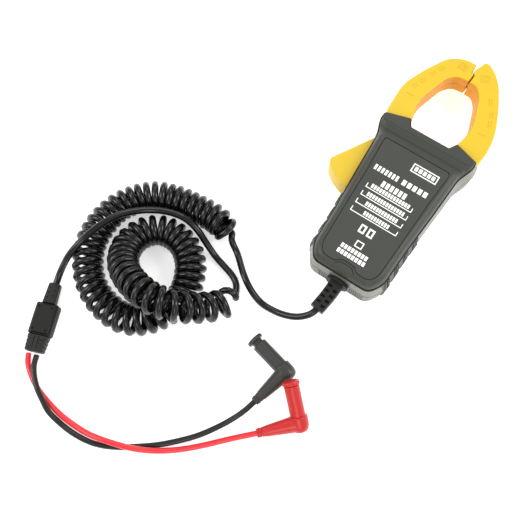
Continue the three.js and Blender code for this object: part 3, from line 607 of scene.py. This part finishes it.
SEAM = [
    (20.6, -84.9, 4), (27, -75, 5), (27.3, -50, 0), (28.8, -28, 0), (31, 2, 0), (31.6, 8.5, 4),
    (36.5, 20.5, 5), (35.6, 29.5, 1.5), (17.4, 31.2, 1.2), (14.2, 25.4, 0.8),
    (-14.2, 25.4, 0.8), (-17.4, 31.2, 1.2), (-34.8, 29.5, 1.5), (-33.8, 20.5, 5), (-30.8, 8.5, 4),
    (-30.4, 2, 0), (-28.8, -28, 0), (-27.3, -50, 0), (-27, -75, 5), (-20.6, -84.9, 4),
]
RIM = mirrored([
    (19, -84.8, 4), (24.6, -76, 5), (25.5, -50, 0), (27.5, -22, 0), (28.9, 4, 0), (29.4, 9.5, 4),
    (33.5, 20, 5), (33, 25.6, 1.5), (17, 30.4, 1.2), (13.9, 25, 0.8),
])
LABEL = [(-7.6, -80.2, 2), (-4.4, -77.2, 2), (4.4, -77.2, 2), (7.6, -80.2, 2)] + mirrored([
    (15.4, -80.2, 3), (19.2, -75, 3), (20, -58, 0), (21.4, -18, 0), (23, 4, 0), (22.4, 6.6, 1.6),
])
ARCH_PAD = [(-7.6, -82.6, 0.8), (7.2, -82.6, 0.8), (3.6, -79.2, 1.6), (-4, -79.2, 1.6)]
FIXED_JAW = [
    (14.7, 7.5, 0), (27.6, 7.5, 2), (29.4, 15, 2), (33.6, 22, 3), (36, 38, 8), (33.8, 53, 7),
    (27, 70.5, 6), (19.6, 85, 6), (13.5, 91.8, 3), (7.3, 96.2, 1.5), (3.7, 96.2, 1), (1.9, 90.8, 0.5),
    (0.4, 87.6, 0), (0.4, 84.9, 0), (2.1, 83, 0), (1.7, 76.6, 0.5), (7.4, 76.3, 3), (12, 70.5, 3),
    (18.7, 50, 6), (18.7, 39.5, 5), (15.9, 30.5, 2), (14.7, 22, 0),
]
MOVING_JAW = [
    (-15, 3.4, 2), (-14.4, 9, 2), (-14.4, 22, 0), (-15.8, 31, 2), (-18.5, 41, 5), (-18.5, 49, 5),
    (-12.5, 70, 3), (-7.2, 76, 3), (0.9, 76.9, 0.5), (1.3, 82.4, 0), (-0.4, 84.2, 0), (-0.4, 91.2, 0.5),
    (-9, 91.2, 5), (-19.2, 85.4, 6), (-28.4, 67.8, 6), (-34.4, 52.5, 6), (-33.8, 29.6, 3),
    (-30, 20, 2), (-28.1, 9, 3), (-25.6, 2.6, 3), (-17.5, 1.5, 3),
]
TRIGGER = [
    (-23, -29, 1), (-18.9, -8, 2), (-17.8, 0.9, 0), (-28.5, 0.9, 0), (-29.1, 9.7, 0),
    (-46.6, -20.4, 2), (-43.6, -24.9, 3), (-37.4, -28.9, 3), (-31.4, -31.3, 2), (-27.6, -31.7, 1),
]
TRIGGER_TONGUE = [
    (-25.7, -6, 0), (-17.3, -6, 0), (-17.3, 8.5, 2.5), (-19, 12.7, 1.5), (-24, 12.7, 1.5), (-25.7, 8.5, 2.5),
]
RELIEF_RADIUS = 4.6
RELIEF_HEIGHT = 8.8
RELIEF_SLOT_ROWS = 4
RELIEF_SLOT_PITCH = 3.9
BELOW_CASE = -90  # lower than the case's bottom end
RELIEF_ROUTE = [(0, -79.5, 17), (0, -88, 17), (-0.5, -97, 16.6), (-1.9, -107, 15.5)]
RELIEF_FLANGES = [(6.4, -82, -80), (7.3, -87.6, -85.4)]
RIM_Z = 28
GRIP_COUNT = 4
GRIP_LOW_Y = -76
GRIP_HIGH_Y = -37
GRIP_FIRST_Y = -40.3
GRIP_PITCH = 10.6
GRIP_LENGTH = 5
GRIP_PROUD = 0.4
RIDGE_PROUD = 0.7
RIDGE_PITCH = 1.7
RIDGE_WIDTH = 0.9
RIM_GROOVE = [(-0.4, 27.4), (-0.25, 27.7), (0, 27.7), (0.05, 26.9), (0.42, 26.9), (0.45, 28.1)]
SHOULDER = [
    (0.6, 29.4), (1.05, 30.9), (1.75, 32.2), (2.6, 33.1), (3.4, 33.65), (4.2, 33.92), (5, 34),
]  # how far in from the rim, and how high
FACE_PROFILE = [  # height of the face along the case, down a slope to a raised band and the horns
    (7.3, 34), (7.9, 33.85), (8.5, 33.5), (14.6, 30.1), (15.2, 29.95), (15.7, 30.1), (18.3, 31),
    (18.8, 30.95), (19.9, 29.65), (20.6, 29.5),
]


def face_height(y):
    if y <= FACE_PROFILE[0][0]:
        return FACE_PROFILE[0][1]
    for (y0, z0), (y1, z1) in zip(FACE_PROFILE, FACE_PROFILE[1:]):
        if y <= y1:
            return z0 + (z1 - z0) * (y - y0) / (y1 - y0)
    return FACE_PROFILE[-1][1]


def shoulder_ring(inset):
    """A ring of the rounded shoulder, which is narrower round the horns."""
    groove = 0.45
    rim = outline(RIM, min(inset, groove))
    if inset <= groove:
        return rim
    ring = []
    for edge, inner in zip(rim, outline(RIM, inset)):
        share = min(1, max(0.25, 1 - (edge.y - 17) / 3.5 * 0.75))
        ring.append(edge + (inner - edge) * share)
    return ring


def step_down_horns(piece):
    shape = bmesh.new()
    shape.from_mesh(piece.data)
    for y, _ in FACE_PROFILE:
        everything = shape.verts[:] + shape.edges[:] + shape.faces[:]
        bmesh.ops.bisect_plane(shape, geom=everything, plane_co=(0, y, 0), plane_no=(0, 1, 0))
    for vertex in shape.verts:
        if vertex.co.z > RIM_Z:
            share = (face_height(vertex.co.y) - RIM_Z) / (CASE_HEIGHT - RIM_Z)
            vertex.co.z = RIM_Z + (vertex.co.z - RIM_Z) * share
    shape.to_mesh(piece.data)
    shape.free()


def jaw_passages():
    bottom = JAW_BOTTOM_Z - GAP
    top = JAW_TOP_Z + GAP
    return [
        prism(outline(FIXED_JAW, -GAP), bottom, top),
        block((-60, -14), (SLOT_BOTTOM_Y, 60), (bottom, top)),
    ]


def relief_openings():
    (inner, start, end), (outer, _, _) = RELIEF_FLANGES
    profiles = [
        [(0, BELOW_CASE), (RELIEF_RADIUS + GAP, BELOW_CASE), (RELIEF_RADIUS + GAP, -76), (0, -76)],
        [(0, start - GAP), (inner + GAP, start - GAP), (inner + GAP, end + GAP), (0, end + GAP)],
        [(0, BELOW_CASE), (outer + GAP, BELOW_CASE), (outer + GAP, -85.1), (0, -85.1)],
    ]
    tools = [turned(profile, "y") for profile in profiles]
    for tool in tools:
        tool.data.transform(Matrix.Translation((0, 0, SEAM_Z)))
    return tools


def ring_groove(corners, width, bottom, top):
    """A tool that cuts a groove of that width just outside an outline."""
    return cut(prism(outline(corners, -width), bottom, top), prism(outline(corners), bottom - 1, top + 1))


def beside_grips(centre):
    return GRIP_LOW_Y < centre.y < GRIP_HIGH_Y


def painted_reflection_side(centre, normal):
    """Whether a face is on the cover's smoother side wall, which is given a paler grey as a painted
    reflection of the white floor.
    """
    return abs(normal.z) < 0.5 and centre.z < RIM_Z - 1 and not beside_grips(centre)


def gripped_side(centre, normal):
    return abs(normal.z) < 0.5 and beside_grips(centre)


def front_cover():
    low = SEAM_Z + GAP / 2
    levels = [(outline(SEAM, SEAM_EDGE), low), (outline(SEAM), low + SEAM_EDGE)]
    levels += [(shoulder_ring(inset), z) for inset, z in RIM_GROOVE + SHOULDER]
    cover = loft("front_cover_shell", levels)
    step_down_horns(cover)
    join(cover, *grip_pads([(SEAM, 0, low), (RIM, -0.4, 27), (RIM, 0.1, 27.6)]))
    main = prism(outline(RIM, WALL), SEAM_Z - 1, CASE_HEIGHT - WALL - LABEL_THICKNESS)
    cavity = cut(main, block((-40, 40), (7, 40), (HORN_TOP_Z - WALL, CASE_HEIGHT)))
    recess = prism(outline(LABEL, -LABEL_GROOVE), CASE_HEIGHT - LABEL_THICKNESS, CASE_HEIGHT + 1)
    arch = ring_groove(ARCH_PAD, ARCH_GROOVE, CASE_HEIGHT - 0.9, CASE_HEIGHT + 1)
    cut(cover, cavity, recess, arch, *jaw_passages(), *relief_openings())
    join(cover, post(PIVOT, PIN_BOSS_RADIUS, JAW_TOP_Z + GAP, PIN_BOSS_TOP_Z))
    softened(cover, 0.3)
    finished(cover, "front_cover_shell", "case", CASE_FINISH, ["front_cover"])
    # The lower side walls get the paler grey, a painted reflection of the white floor.
    finish_faces(cover, CASE_SIDE_PAINTED_REFLECTION_FINISH, painted_reflection_side)


def grip_pads(levels):
    """Ridged pads down both sides, between levels of a cover's wall: (outline, inset, height)."""
    pads = []
    for index in range(GRIP_COUNT):
        middle = GRIP_FIRST_Y - GRIP_PITCH * index
        strips = [(GRIP_PROUD, middle, GRIP_LENGTH / 2)]
        strips += [(RIDGE_PROUD, middle + step * RIDGE_PITCH, RIDGE_WIDTH / 2) for step in (-1, 0, 1)]
        for proud, y, half in strips:
            for side in (-1, 1):
                band = block(span(side, 20, 40), (y - half, y + half), (0, CASE_HEIGHT))
                wall = loft("pad", [(outline(corners, inset - proud), z) for corners, inset, z in levels])
                pads.append(combined(wall, [band], "INTERSECT"))
    return pads


def back_cover():
    high = SEAM_Z - GAP / 2
    profile = [*BACK_EDGE, (0, high - SEAM_EDGE), (SEAM_EDGE, high)]
    cover = loft("back_cover_shell", [(outline(SEAM, inset), z) for inset, z in profile])
    join(cover, *grip_pads([(SEAM, 0.9, 4.4), (SEAM, 0.4, 5.4), (SEAM, 0, high)]))
    cavity = prism(outline(SEAM, WALL + 1.2), WALL, SEAM_Z + 1)
    lower_step = block((-14, 7), (BELOW_CASE, -83.9), (3, SEAM_Z + 1))
    teeth = [block((x - TOOTH_GAP / 2, x + TOOTH_GAP / 2), (BELOW_CASE, -83.5), (3.6, 15.5))
             for start, count in TOOTH_GROUPS
             for x in [start + TOOTH_PITCH * index for index in range(count)]]
    screw_holes = [post(place, SCREW_RADIUS + GAP, -1, CASE_HEIGHT) for place in SCREW_PLACES]
    screw_heads = [post(place, SCREW_HEAD_RADIUS + GAP, -1, SCREW_HEAD_Z[1] + GAP) for place in SCREW_PLACES]
    cut(cover, cavity, lower_step, *teeth, *jaw_passages(), *relief_openings())
    pin_boss = post(PIVOT, PIN_BOSS_RADIUS, 1, JAW_BOTTOM_Z - GAP)
    join(cover, pin_boss, *[post(place, SCREW_POST_RADIUS, 1, high) for place in SCREW_PLACES])
    cut(cover, *screw_holes, *screw_heads)
    softened(cover, 0.25)
    finished(cover, "back_cover_shell", "case", BACK_PAINTED_REFLECTION_FINISH, ["back_cover"])
    # The gripped sides keep the case's dark colour; the paler grey on the rest of the back cover is painted
    # reflection.
    finish_faces(cover, CASE_FINISH, gripped_side)


def front_label():
    bottom = CASE_HEIGHT - LABEL_THICKNESS + GAP
    panel = rounded_slab("label_panel", LABEL, bottom, CASE_HEIGHT + LABEL_PROUD, LABEL_EDGE, 3, both=False)
    finished(panel, "label_panel", "case", LABEL_FINISH, ["front_label"])


# Blank print on the label, with no lettering: each white bar is (left, right, bottom, top).
INK_Z = (CASE_HEIGHT + 0.1, CASE_HEIGHT + 0.15)
PRINT_LINE = 0.55
PRINT_ROWS = [(-13.6, 13, 14), (-13, 12.6, 14), (-10.6, 11.4, 12), (-8.4, 9, 10)]  # left, right, blocks
PRINT_ROW_TOP = -29.4
PRINT_ROW_PITCH = 6.05


def bars(left, right, bottom, top, count, gap=0.8):
    width = (right - left - gap * (count - 1)) / count
    return [(left + index * (width + gap), left + index * (width + gap) + width, bottom, top)
            for index in range(count)]


def frame_bars(left, right, bottom, top, line):
    return [(left, right, bottom, bottom + line), (left, right, top - line, top),
            (left, left + line, bottom + line, top - line), (right - line, right, bottom + line, top - line)]


def bracket_bars(left, right, bottom, top, line):
    return [(left, right, bottom, bottom + line), (left, left + line, bottom + line, top),
            (right - line, right, bottom + line, top)]


def label_print():
    marks = frame_bars(1.1, 18.9, -5.2, 1, 0.75)
    marks += bars(3, 17, -3.6, -0.6, 5)
    marks += bars(-18.6, -2, -16.2, -12.4, 7, 0.9) + bars(1, 18.2, -16.2, -12.4, 5, 1.1)
    marks += bars(-9, 7.9, -24.2, -20, 6, 0.9)
    for row, (left, right, count) in enumerate(PRINT_ROWS):
        base = PRINT_ROW_TOP - PRINT_ROW_PITCH * row
        marks += bracket_bars(-16.6, 15.4, base, base + 3.2, PRINT_LINE)
        marks += bars(left, right, base + 1.3, base + 4.2, count, PRINT_LINE)
    marks += frame_bars(-5.6, -1.6, -57.2, -51.4, 1.1) + frame_bars(0, 4, -57.2, -51.4, 1.1)
    marks += frame_bars(-2.6, 2.4, -66.4, -61.8, 0.7)
    marks += bars(-9.4, 8.6, -70.9, -68, 8, 0.6) + bars(-9.8, 9, -74.8, -71.9, 8, 0.6)
    shape = bmesh.new()
    for left, right, bottom, top in marks:
        low, high = INK_Z
        corners = [(left, bottom), (right, bottom), (right, top), (left, top)]
        lower = [shape.verts.new((x, y, low)) for x, y in corners]
        upper = [shape.verts.new((x, y, high)) for x, y in corners]
        shape.faces.new(lower[::-1])
        shape.faces.new(upper)
        for index in range(4):
            after = (index + 1) % 4
            shape.faces.new((lower[index], lower[after], upper[after], upper[index]))
    ink = new_piece("label_print", shape)
    finished(ink, "label_print", "case", INK_FINISH)


def case_screws():
    for index, place in enumerate(SCREW_PLACES, 1):
        bottom, top = SCREW_HEAD_Z
        head = [(0, bottom), (1.9, bottom), (2.5, bottom + 0.2), (SCREW_HEAD_RADIUS, 1.9),
                (SCREW_HEAD_RADIUS, top)]
        shank = [(SCREW_RADIUS, top), (SCREW_RADIUS, SCREW_TIP_Z - 0.6), (0.8, SCREW_TIP_Z), (0, SCREW_TIP_Z)]
        screw = turned(head + shank, "z", 36)
        slots = [block((-half, half), (-other, other), (0, 2.1)) for half, other in ((0.4, 1.7), (1.7, 0.4))]
        cut(screw, *slots)
        softened(screw, 0.08, 2)
        finished(screw, f"screw_{index}", "case", STEEL_FINISH, [f"case_screw_{index}"],
                 place=CASE_PLACE + Vector((*place, 0)))


def swept(name, route, section_at, step):
    """A body along a route; section_at gives the points across it at each share of its length."""
    points = smooth_route(route, step)
    along = lengths_along(points)
    up = Vector((0, 0, 1))
    rings = []
    for index, point in enumerate(points):
        before = points[max(index - 1, 0)]
        after = points[min(index + 1, len(points) - 1)]
        tangent = (after - before).normalized()
        rise = (up - up.dot(tangent) * tangent).normalized()
        side = tangent.cross(rise)
        rings.append([point + side * x + rise * y for x, y in section_at(along[index] / along[-1])])
    return rings_about(name, rings)


def relief_slots():
    """Two staggered rows of slots above, below and at the sides, which follow the relief's droop."""
    slots = []
    for row in range(RELIEF_SLOT_ROWS):
        for side in (-1, 1):
            y = -91.2 - row * RELIEF_SLOT_PITCH - (1.9 if side > 0 else 0)
            droop = max(0, -88 - y) / 19
            x = side * 2.1 - 1.9 * droop**2
            z = SEAM_Z - 1.5 * droop**1.5
            along = (y - 0.85, y + 0.85)
            across = (x - 1.35, x + 1.35)
            outside = sorted((x + side * 1.3 - 1.2, x + side * 1.3 + 3 * side))
            slots += [
                block(across, along, (z + 2.6, z + 7)), block(across, along, (z - 7, z - 2.6)),
                block(outside, along, (z - 1.2, z + 1.2)),
            ]
    return slots


def strain_relief():
    def section(share):
        return outline(rectangle(2 * RELIEF_RADIUS, RELIEF_HEIGHT, 1.6), 0.25 * max(0, share - 0.3), 5)

    sleeve = swept("relief", RELIEF_ROUTE, section, 1)
    flanges = []
    for radius, start, end in RELIEF_FLANGES:
        flange = turned([(0, start), (radius, start), (radius, end), (0, end)], "y", 48)
        flange.data.transform(Matrix.Translation((0, 0, SEAM_Z)))
        flanges.append(flange)
    join(sleeve, *flanges)
    cut(sleeve, *relief_slots())
    softened(sleeve, 0.18)
    return finished(sleeve, "cord_relief", "case", RUBBER_FINISH, ["strain_relief"])


# ---- jaws and trigger ----
def jaw_half(corners, is_front, openings):
    if is_front:
        seam = JAW_MIDDLE_Z + GAP / 2
        levels = [(outline(corners, JAW_SEAM_EDGE), seam), (outline(corners), seam + 0.2)]
        levels += upper_round(corners, JAW_TOP_Z, JAW_EDGE, 5)
        cavity = prism(outline(corners, JAW_WALL), JAW_MIDDLE_Z - 1, JAW_TOP_Z - JAW_WALL)
    else:
        seam = JAW_MIDDLE_Z - GAP / 2
        levels = lower_round(corners, JAW_BOTTOM_Z, JAW_EDGE, 5)
        levels += [(outline(corners), seam - 0.2), (outline(corners, JAW_SEAM_EDGE), seam)]
        cavity = prism(outline(corners, JAW_WALL), JAW_BOTTOM_Z + JAW_WALL, JAW_MIDDLE_Z + 1)
    shell = loft("jaw", levels)
    return cut(shell, cavity, *openings())


def core_opening(x, y):
    return block(x, y, (12.5, 22.2))


def fixed_openings():
    return [core_opening((-1, 5), (79.8, 87.4)), core_opening((13, 19), (11.6, 19.4))]


def moving_openings():
    return [
        core_opening((-4, 3), (79.7, 87.3)), core_opening((-18, -13), (11.4, 19.6)),
        block((-26.1, -16.8), (0, 9.5), (11.8, 22.9)), post(PIVOT, 2.1, 0, CASE_HEIGHT),
    ]


MARK_DEPTH = 0.22
MARK_LINE = 0.45


def engraved(place, turn, width, height, line, hollow=True):
    """A tool for a shallow mark on a jaw's face: a plain square outline, or a bar."""
    def around(w, h):
        return [(-w / 2, -h / 2), (w / 2, -h / 2), (w / 2, h / 2), (-w / 2, h / 2)]

    mark = prism(around(width, height), JAW_TOP_Z - MARK_DEPTH, JAW_TOP_Z + 1)
    if hollow:
        cut(mark, prism(around(width - 2 * line, height - 2 * line), JAW_TOP_Z - 1, JAW_TOP_Z + 2))
    mark.data.transform(Matrix.Translation((*place, 0)) @ Matrix.Rotation(math.radians(turn), 4, "Z"))
    return mark


def dash(place, turn, width=4.4):
    return engraved(place, turn, width, 0.5, 0, False)


def double_square(place, turn):
    return [engraved(place, turn, 5.6, 5.2, MARK_LINE), engraved(place, turn, 2.6, 2.4, MARK_LINE)]


def moving_marks():
    marks = double_square((-7.2, 84.4), -8)
    for x, y, turn in ((-18.6, 75.8, 62), (-21.6, 69.6, 62), (-24.6, 61.5, 64), (-26.9, 55.4, 66)):
        marks += [dash((x - 1, y), turn), dash((x + 0.6, y - 0.8), turn)]
    return [*marks, dash((-26.4, 47.2), 0, 5.4)]


def fixed_marks():
    marks = double_square((9.4, 84), 24)
    for x, y, turn in ((19.5, 70.4, -62), (24.4, 62, -66), (26.6, 55.6, -72)):
        marks += [dash((x, y), turn), dash((x + 1.5, y + 0.7), turn)]
    return [*marks, dash((26.6, 46.6), 8, 5.4)]


WINDOW_CENTRE = (0, 52)


def faces_window(centre, normal):
    """Whether an upright face of a jaw faces the window between the jaws."""
    x = WINDOW_CENTRE[0] - centre.x
    y = WINDOW_CENTRE[1] - centre.y
    return abs(normal.z) < 0.6 and normal.x * x + normal.y * y > 0 and math.hypot(x, y) < 30 and centre.y > 26


def jaws():
    parts = [
        ("fixed_jaw", FIXED_JAW, fixed_openings, fixed_marks, "case"),
        ("moving_jaw", MOVING_JAW, moving_openings, moving_marks, "jaw_lever"),
    ]
    for name, corners, openings, marks, body in parts:
        front = jaw_half(corners, True, openings)
        cut(front, *marks())
        softened(front, 0.12)
        finished(front, f"{name}_upper_shell", body, JAW_FINISH, [f"{name}_front"])
        # The inner walls round the window get the deeper orange, which is painted shade.
        finish_faces(front, JAW_PAINTED_SHADE_FINISH, faces_window)
        back = jaw_half(corners, False, openings)
        softened(back, 0.12)
        finished(back, f"{name}_lower_shell", body, JAW_FINISH, [f"{name}_back"])
        finish_faces(back, JAW_PAINTED_SHADE_FINISH, faces_window)


def trigger():
    grip = rounded_slab("trigger", TRIGGER, JAW_BOTTOM_Z, JAW_TOP_Z, 1.2, 5)
    join(grip, rounded_slab("tongue", TRIGGER_TONGUE, 12.2, 22.5, 0.3, 2))
    cut(grip, post(PIVOT, 2.1, 0, CASE_HEIGHT))
    softened(grip, 0.2)
    finished(grip, "trigger_lever", "jaw_lever", JAW_FINISH, ["trigger"])


# ---- split box ----
BOX_SIZE = (14.2, 20.4, 9.5)
BOX_WALL = 1.6
BOX_MATRIX = Matrix.Translation((-134, -197, 0)) @ Matrix.Rotation(0.365, 4, "Z")


def box_half(is_top):
    width, length, height = BOX_SIZE
    corners = rectangle(width, length, 1.8)
    middle = height / 2
    if is_top:
        profile = [(0.2, middle + GAP / 2), (0, middle + GAP / 2 + 0.2), (0, 7.0), (0.35, 7.5), (1.05, 7.7),
                   (1.15, 7.9), (1.2, 8.8), (1.45, 9.3), (1.9, height)]
        cavity = prism(outline(corners, BOX_WALL + 0.6), middle - 1, height - BOX_WALL - 1)
    else:
        profile = [(1, 0), (0.5, 0.15), (0.15, 0.5), (0, 1.2), (0, middle - GAP / 2 - 0.2),
                   (0.2, middle - GAP / 2)]
        cavity = prism(outline(corners, BOX_WALL), BOX_WALL, middle + 1)
    half = loft("half", [(outline(corners, inset), z) for inset, z in profile])
    tools = [cavity]
    if is_top:
        tools += [post((sx * (width / 2 - 3.1), sy * (length / 2 - 3.1)), 0.75, height - 0.8, height + 1, 24)
                  for sx in (-1, 1) for sy in (-1, 1)]
    cut(half, *tools)
    softened(half, 0.12)
    name = "box_top" if is_top else "box_bottom"
    node = "split_box_top" if is_top else "split_box_bottom"
    return finished(half, name, "case", BOX_FINISH, [node], matrix=BOX_MATRIX)


def boot(name, node, sections, grooves, flip):
    """A boot grows along +Z from the box's wall, and is then laid down along the box."""
    piece = loft(name, [(outline(rectangle(w, h, 2.4), 0, 6), z) for z, w, h in sections])
    cut(piece, *[block(*groove) for groove in grooves])
    softened(piece, 0.16)
    _, length, height = BOX_SIZE
    turn = Matrix.Rotation(math.pi / 2 * (-1 if flip else 1), 4, "X")
    start = Matrix.Translation((0, (1 if flip else -1) * (length / 2 + GAP), height / 2))
    return finished(piece, name, "case", RUBBER_FINISH, [node],
                    matrix=BOX_MATRIX @ start @ turn)


def cord_boot_holes():
    """Two staggered rows of small holes above and below the cord's boot."""
    holes = []
    for row in range(3):
        for side in (-1, 1):
            z = 2.6 + row * 3.4 + (1.6 if side > 0 else 0)
            x = side * 1.9
            holes += [((x - 0.55, x + 0.55), span(face, 3, 5), (z, z + 1)) for face in (-1, 1)]
    return holes


def lead_boot_grooves():
    """Cross grooves round the leads' boot, and two along its middle."""
    grooves = []
    for row in range(3):
        z = 2.2 + row * 2.5
        for side in (-1, 1):
            grooves.append((span(side, 5.6, 9), (-6, 6), (z, z + 1.2)))
            grooves += [(span(side, 2.2, 5.6), span(face, 3.4, 6), (z, z + 1.1)) for face in (-1, 1)]
    for face in (-1, 1):
        grooves += [((x - 0.3, x + 0.3), span(face, 3.3, 6), (0.6, 8.4)) for x in (-1.3, 1.3)]
    return grooves


CORD_BOOT = [(0, 8.6, 7.6), (0.6, 8.4, 7.4), (11.8, 7.5, 6.9), (12.7, 7.1, 6.5), (13, 6.4, 5.8)]
LEAD_BOOT = [(0, 13.2, 7.8), (9, 12.1, 7.3), (9.7, 11.8, 7), (10, 11.2, 6.4)]  # out, width, height


def split_box():
    return [
        box_half(True), box_half(False),
        boot("box_cord_boot", "split_box_cord_boot", CORD_BOOT, cord_boot_holes(), True),
        boot("box_lead_boot", "split_box_lead_boot", LEAD_BOOT, lead_boot_grooves(), False),
    ]


# ---- plugs ----
SHROUD_RADIUS = 4.65
SHROUD_LENGTH = 23.3
BORE_RADIUS = 3.6
ELBOW_RADIUS = 5.6
BOOT_LENGTH = 26
FLANGE_RADIUS = 5.3
FLANGE_THICKNESS = 2.2
NECK_LENGTH = 9
ROUND_SIDES = 48
PLUGS = {  # elbow, turn about Z and tilt (radians), how far the cap stands out, finish
    "black": ((8.4, -142.3, 5.7), 2.91, 0, 2.3, BLACK_PLUG_FINISH),
    "red": ((31.6, -163.4, 5.7), 2.38, 0.385, 0, RED_PLUG_FINISH),
}


def plug_body():
    shroud = turned([(0, 0), (4.4, 0), (4.6, 6), (SHROUD_RADIUS, 22.9), (SHROUD_RADIUS - 0.3, SHROUD_LENGTH),
                     (0, SHROUD_LENGTH)], "x", ROUND_SIDES)
    r = ELBOW_RADIUS
    elbow = turned([(0, -r), (r * 0.4, -r * 0.985), (r * 0.7, -r * 0.86), (r * 0.88, -r * 0.62),
                    (r * 0.97, -r * 0.3), (r, 0), (r, 3.9), (r * 0.97, 4.3), (r * 0.9, 4.5), (0, 4.5)],
                   "x", ROUND_SIDES)
    boot_profile = [(0, 0), (4.9, 0), (4.8, 5), (4.1, 12), (3.3, 20.4), (3.25, 20.6), (3.05, 20.8),
                    (3.05, 21.5)]
    for ring in range(2):
        start = 21.7 + ring * 1.9
        boot_profile += [(2.95, start), (2.95, start + 1.1), (2.6, start + 1.25), (2.6, start + 1.6)]
    boot_profile += [(2.9, 25.3), (2.8, 25.8), (2.5, BOOT_LENGTH), (0, BOOT_LENGTH)]
    strain = turned(boot_profile, "y", ROUND_SIDES)
    bore = turned([(0, 3), (BORE_RADIUS, 3), (BORE_RADIUS, 40), (0, 40)], "x", ROUND_SIDES)
    join(shroud, elbow, strain)
    cut(shroud, bore)
    return softened(shroud, 0.22)


def plug_cap():
    inner = BORE_RADIUS - GAP
    start = SHROUD_LENGTH + GAP
    end = start + FLANGE_THICKNESS
    neck = start - NECK_LENGTH
    cap = turned([(0, neck), (inner - 0.3, neck), (inner, neck + 0.4), (inner, start),
                  (FLANGE_RADIUS - 0.25, start), (FLANGE_RADIUS, start + 0.3), (FLANGE_RADIUS, end - 0.6),
                  (FLANGE_RADIUS - 0.2, end - 0.2), (FLANGE_RADIUS - 0.6, end), (0, end)],
                 "x", ROUND_SIDES)
    cut(cap, turned([(0, 0), (2.3, 0), (2.3, start), (0, start)], "x", 32))
    return softened(cap, 0.1)


def plug(colour):
    elbow, turn, tilt, cap_out, material = PLUGS[colour]
    where = Matrix.Translation(elbow) @ Matrix.Rotation(turn, 4, "Z") @ Matrix.Rotation(-tilt, 4, "Y")
    body = finished(plug_body(), f"{colour}_plug_moulding", "case", material, [f"{colour}_plug_body"],
                    matrix=where)
    cap_place = where @ Matrix.Translation((cap_out, 0, 0))
    cap = finished(plug_cap(), f"{colour}_sheath_cap", f"{colour}_cap", material,
                   [f"{colour}_plug_cap"], matrix=cap_place)
    return [body, cap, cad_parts[f"{colour}_plug_pin"]]


# ---- floor and lights ----
STUDIO_CENTRE = Vector((-0.05, -0.07, 0))
WHITE = (1, 1, 1, 1)
FLOOR_HALF_WIDTH = 3
FLOOR_GLOW = 0.5  # keeps the floor white between the coil's turns
SKY_STRENGTH = 0.72
SOFTBOXES = [  # compass bearing from the centre, height angle, distance, width, height, power
    ("left_softbox", 213, 40, 1.0, 0.35, 0.6, 4.5),
    ("right_softbox", 33, 40, 1.0, 0.35, 0.6, 4.5),
    ("far_softbox", 123, 48, 1.0, 0.3, 0.5, 2.0),
    ("near_softbox", 303, 40, 1.0, 0.3, 0.5, 2.0),
]


def studio():
    shape = bmesh.new()
    bmesh.ops.create_grid(shape, x_segments=2, y_segments=2, size=FLOOR_HALF_WIDTH)
    floor = new_piece("floor", shape)
    surface = moulded("floor", "#fbfbfa", 0.9, spread=0.004, grain=60, bump=0.0)
    shader = surface.node_tree.nodes["Principled BSDF"]
    shader.inputs["Emission Color"].default_value = WHITE
    shader.inputs["Emission Strength"].default_value = FLOOR_GLOW
    floor.data.materials.append(surface)
    world = bpy.data.worlds.new("studio")
    bpy.context.scene.world = world
    world.use_nodes = True
    background = world.node_tree.nodes["Background"]
    background.inputs["Color"].default_value = WHITE
    background.inputs["Strength"].default_value = SKY_STRENGTH
    for name, bearing, height, distance, width, tall, power in SOFTBOXES:
        data = bpy.data.lights.new(name, "AREA")
        data.shape = "RECTANGLE"
        data.size = width
        data.size_y = tall
        data.energy = power
        lamp = bpy.data.objects.new(name, data)
        flat = math.cos(math.radians(height)) * distance
        lamp.location = STUDIO_CENTRE + Vector((
            flat * math.cos(math.radians(bearing)), flat * math.sin(math.radians(bearing)),
            distance * math.sin(math.radians(height)),
        ))
        lamp.rotation_euler = (STUDIO_CENTRE - lamp.location).to_track_quat("-Z", "Y").to_euler()
        bpy.context.scene.collection.objects.link(lamp)


# ---- assembly ----
finish_cad_nodes()
front_cover()
back_cover()
front_label()
label_print()
case_screws()
relief = strain_relief()
jaws()
trigger()
{"relief": relief, "box": split_box(), "black_plug": plug("black"), "red_plug": plug("red")}
studio()
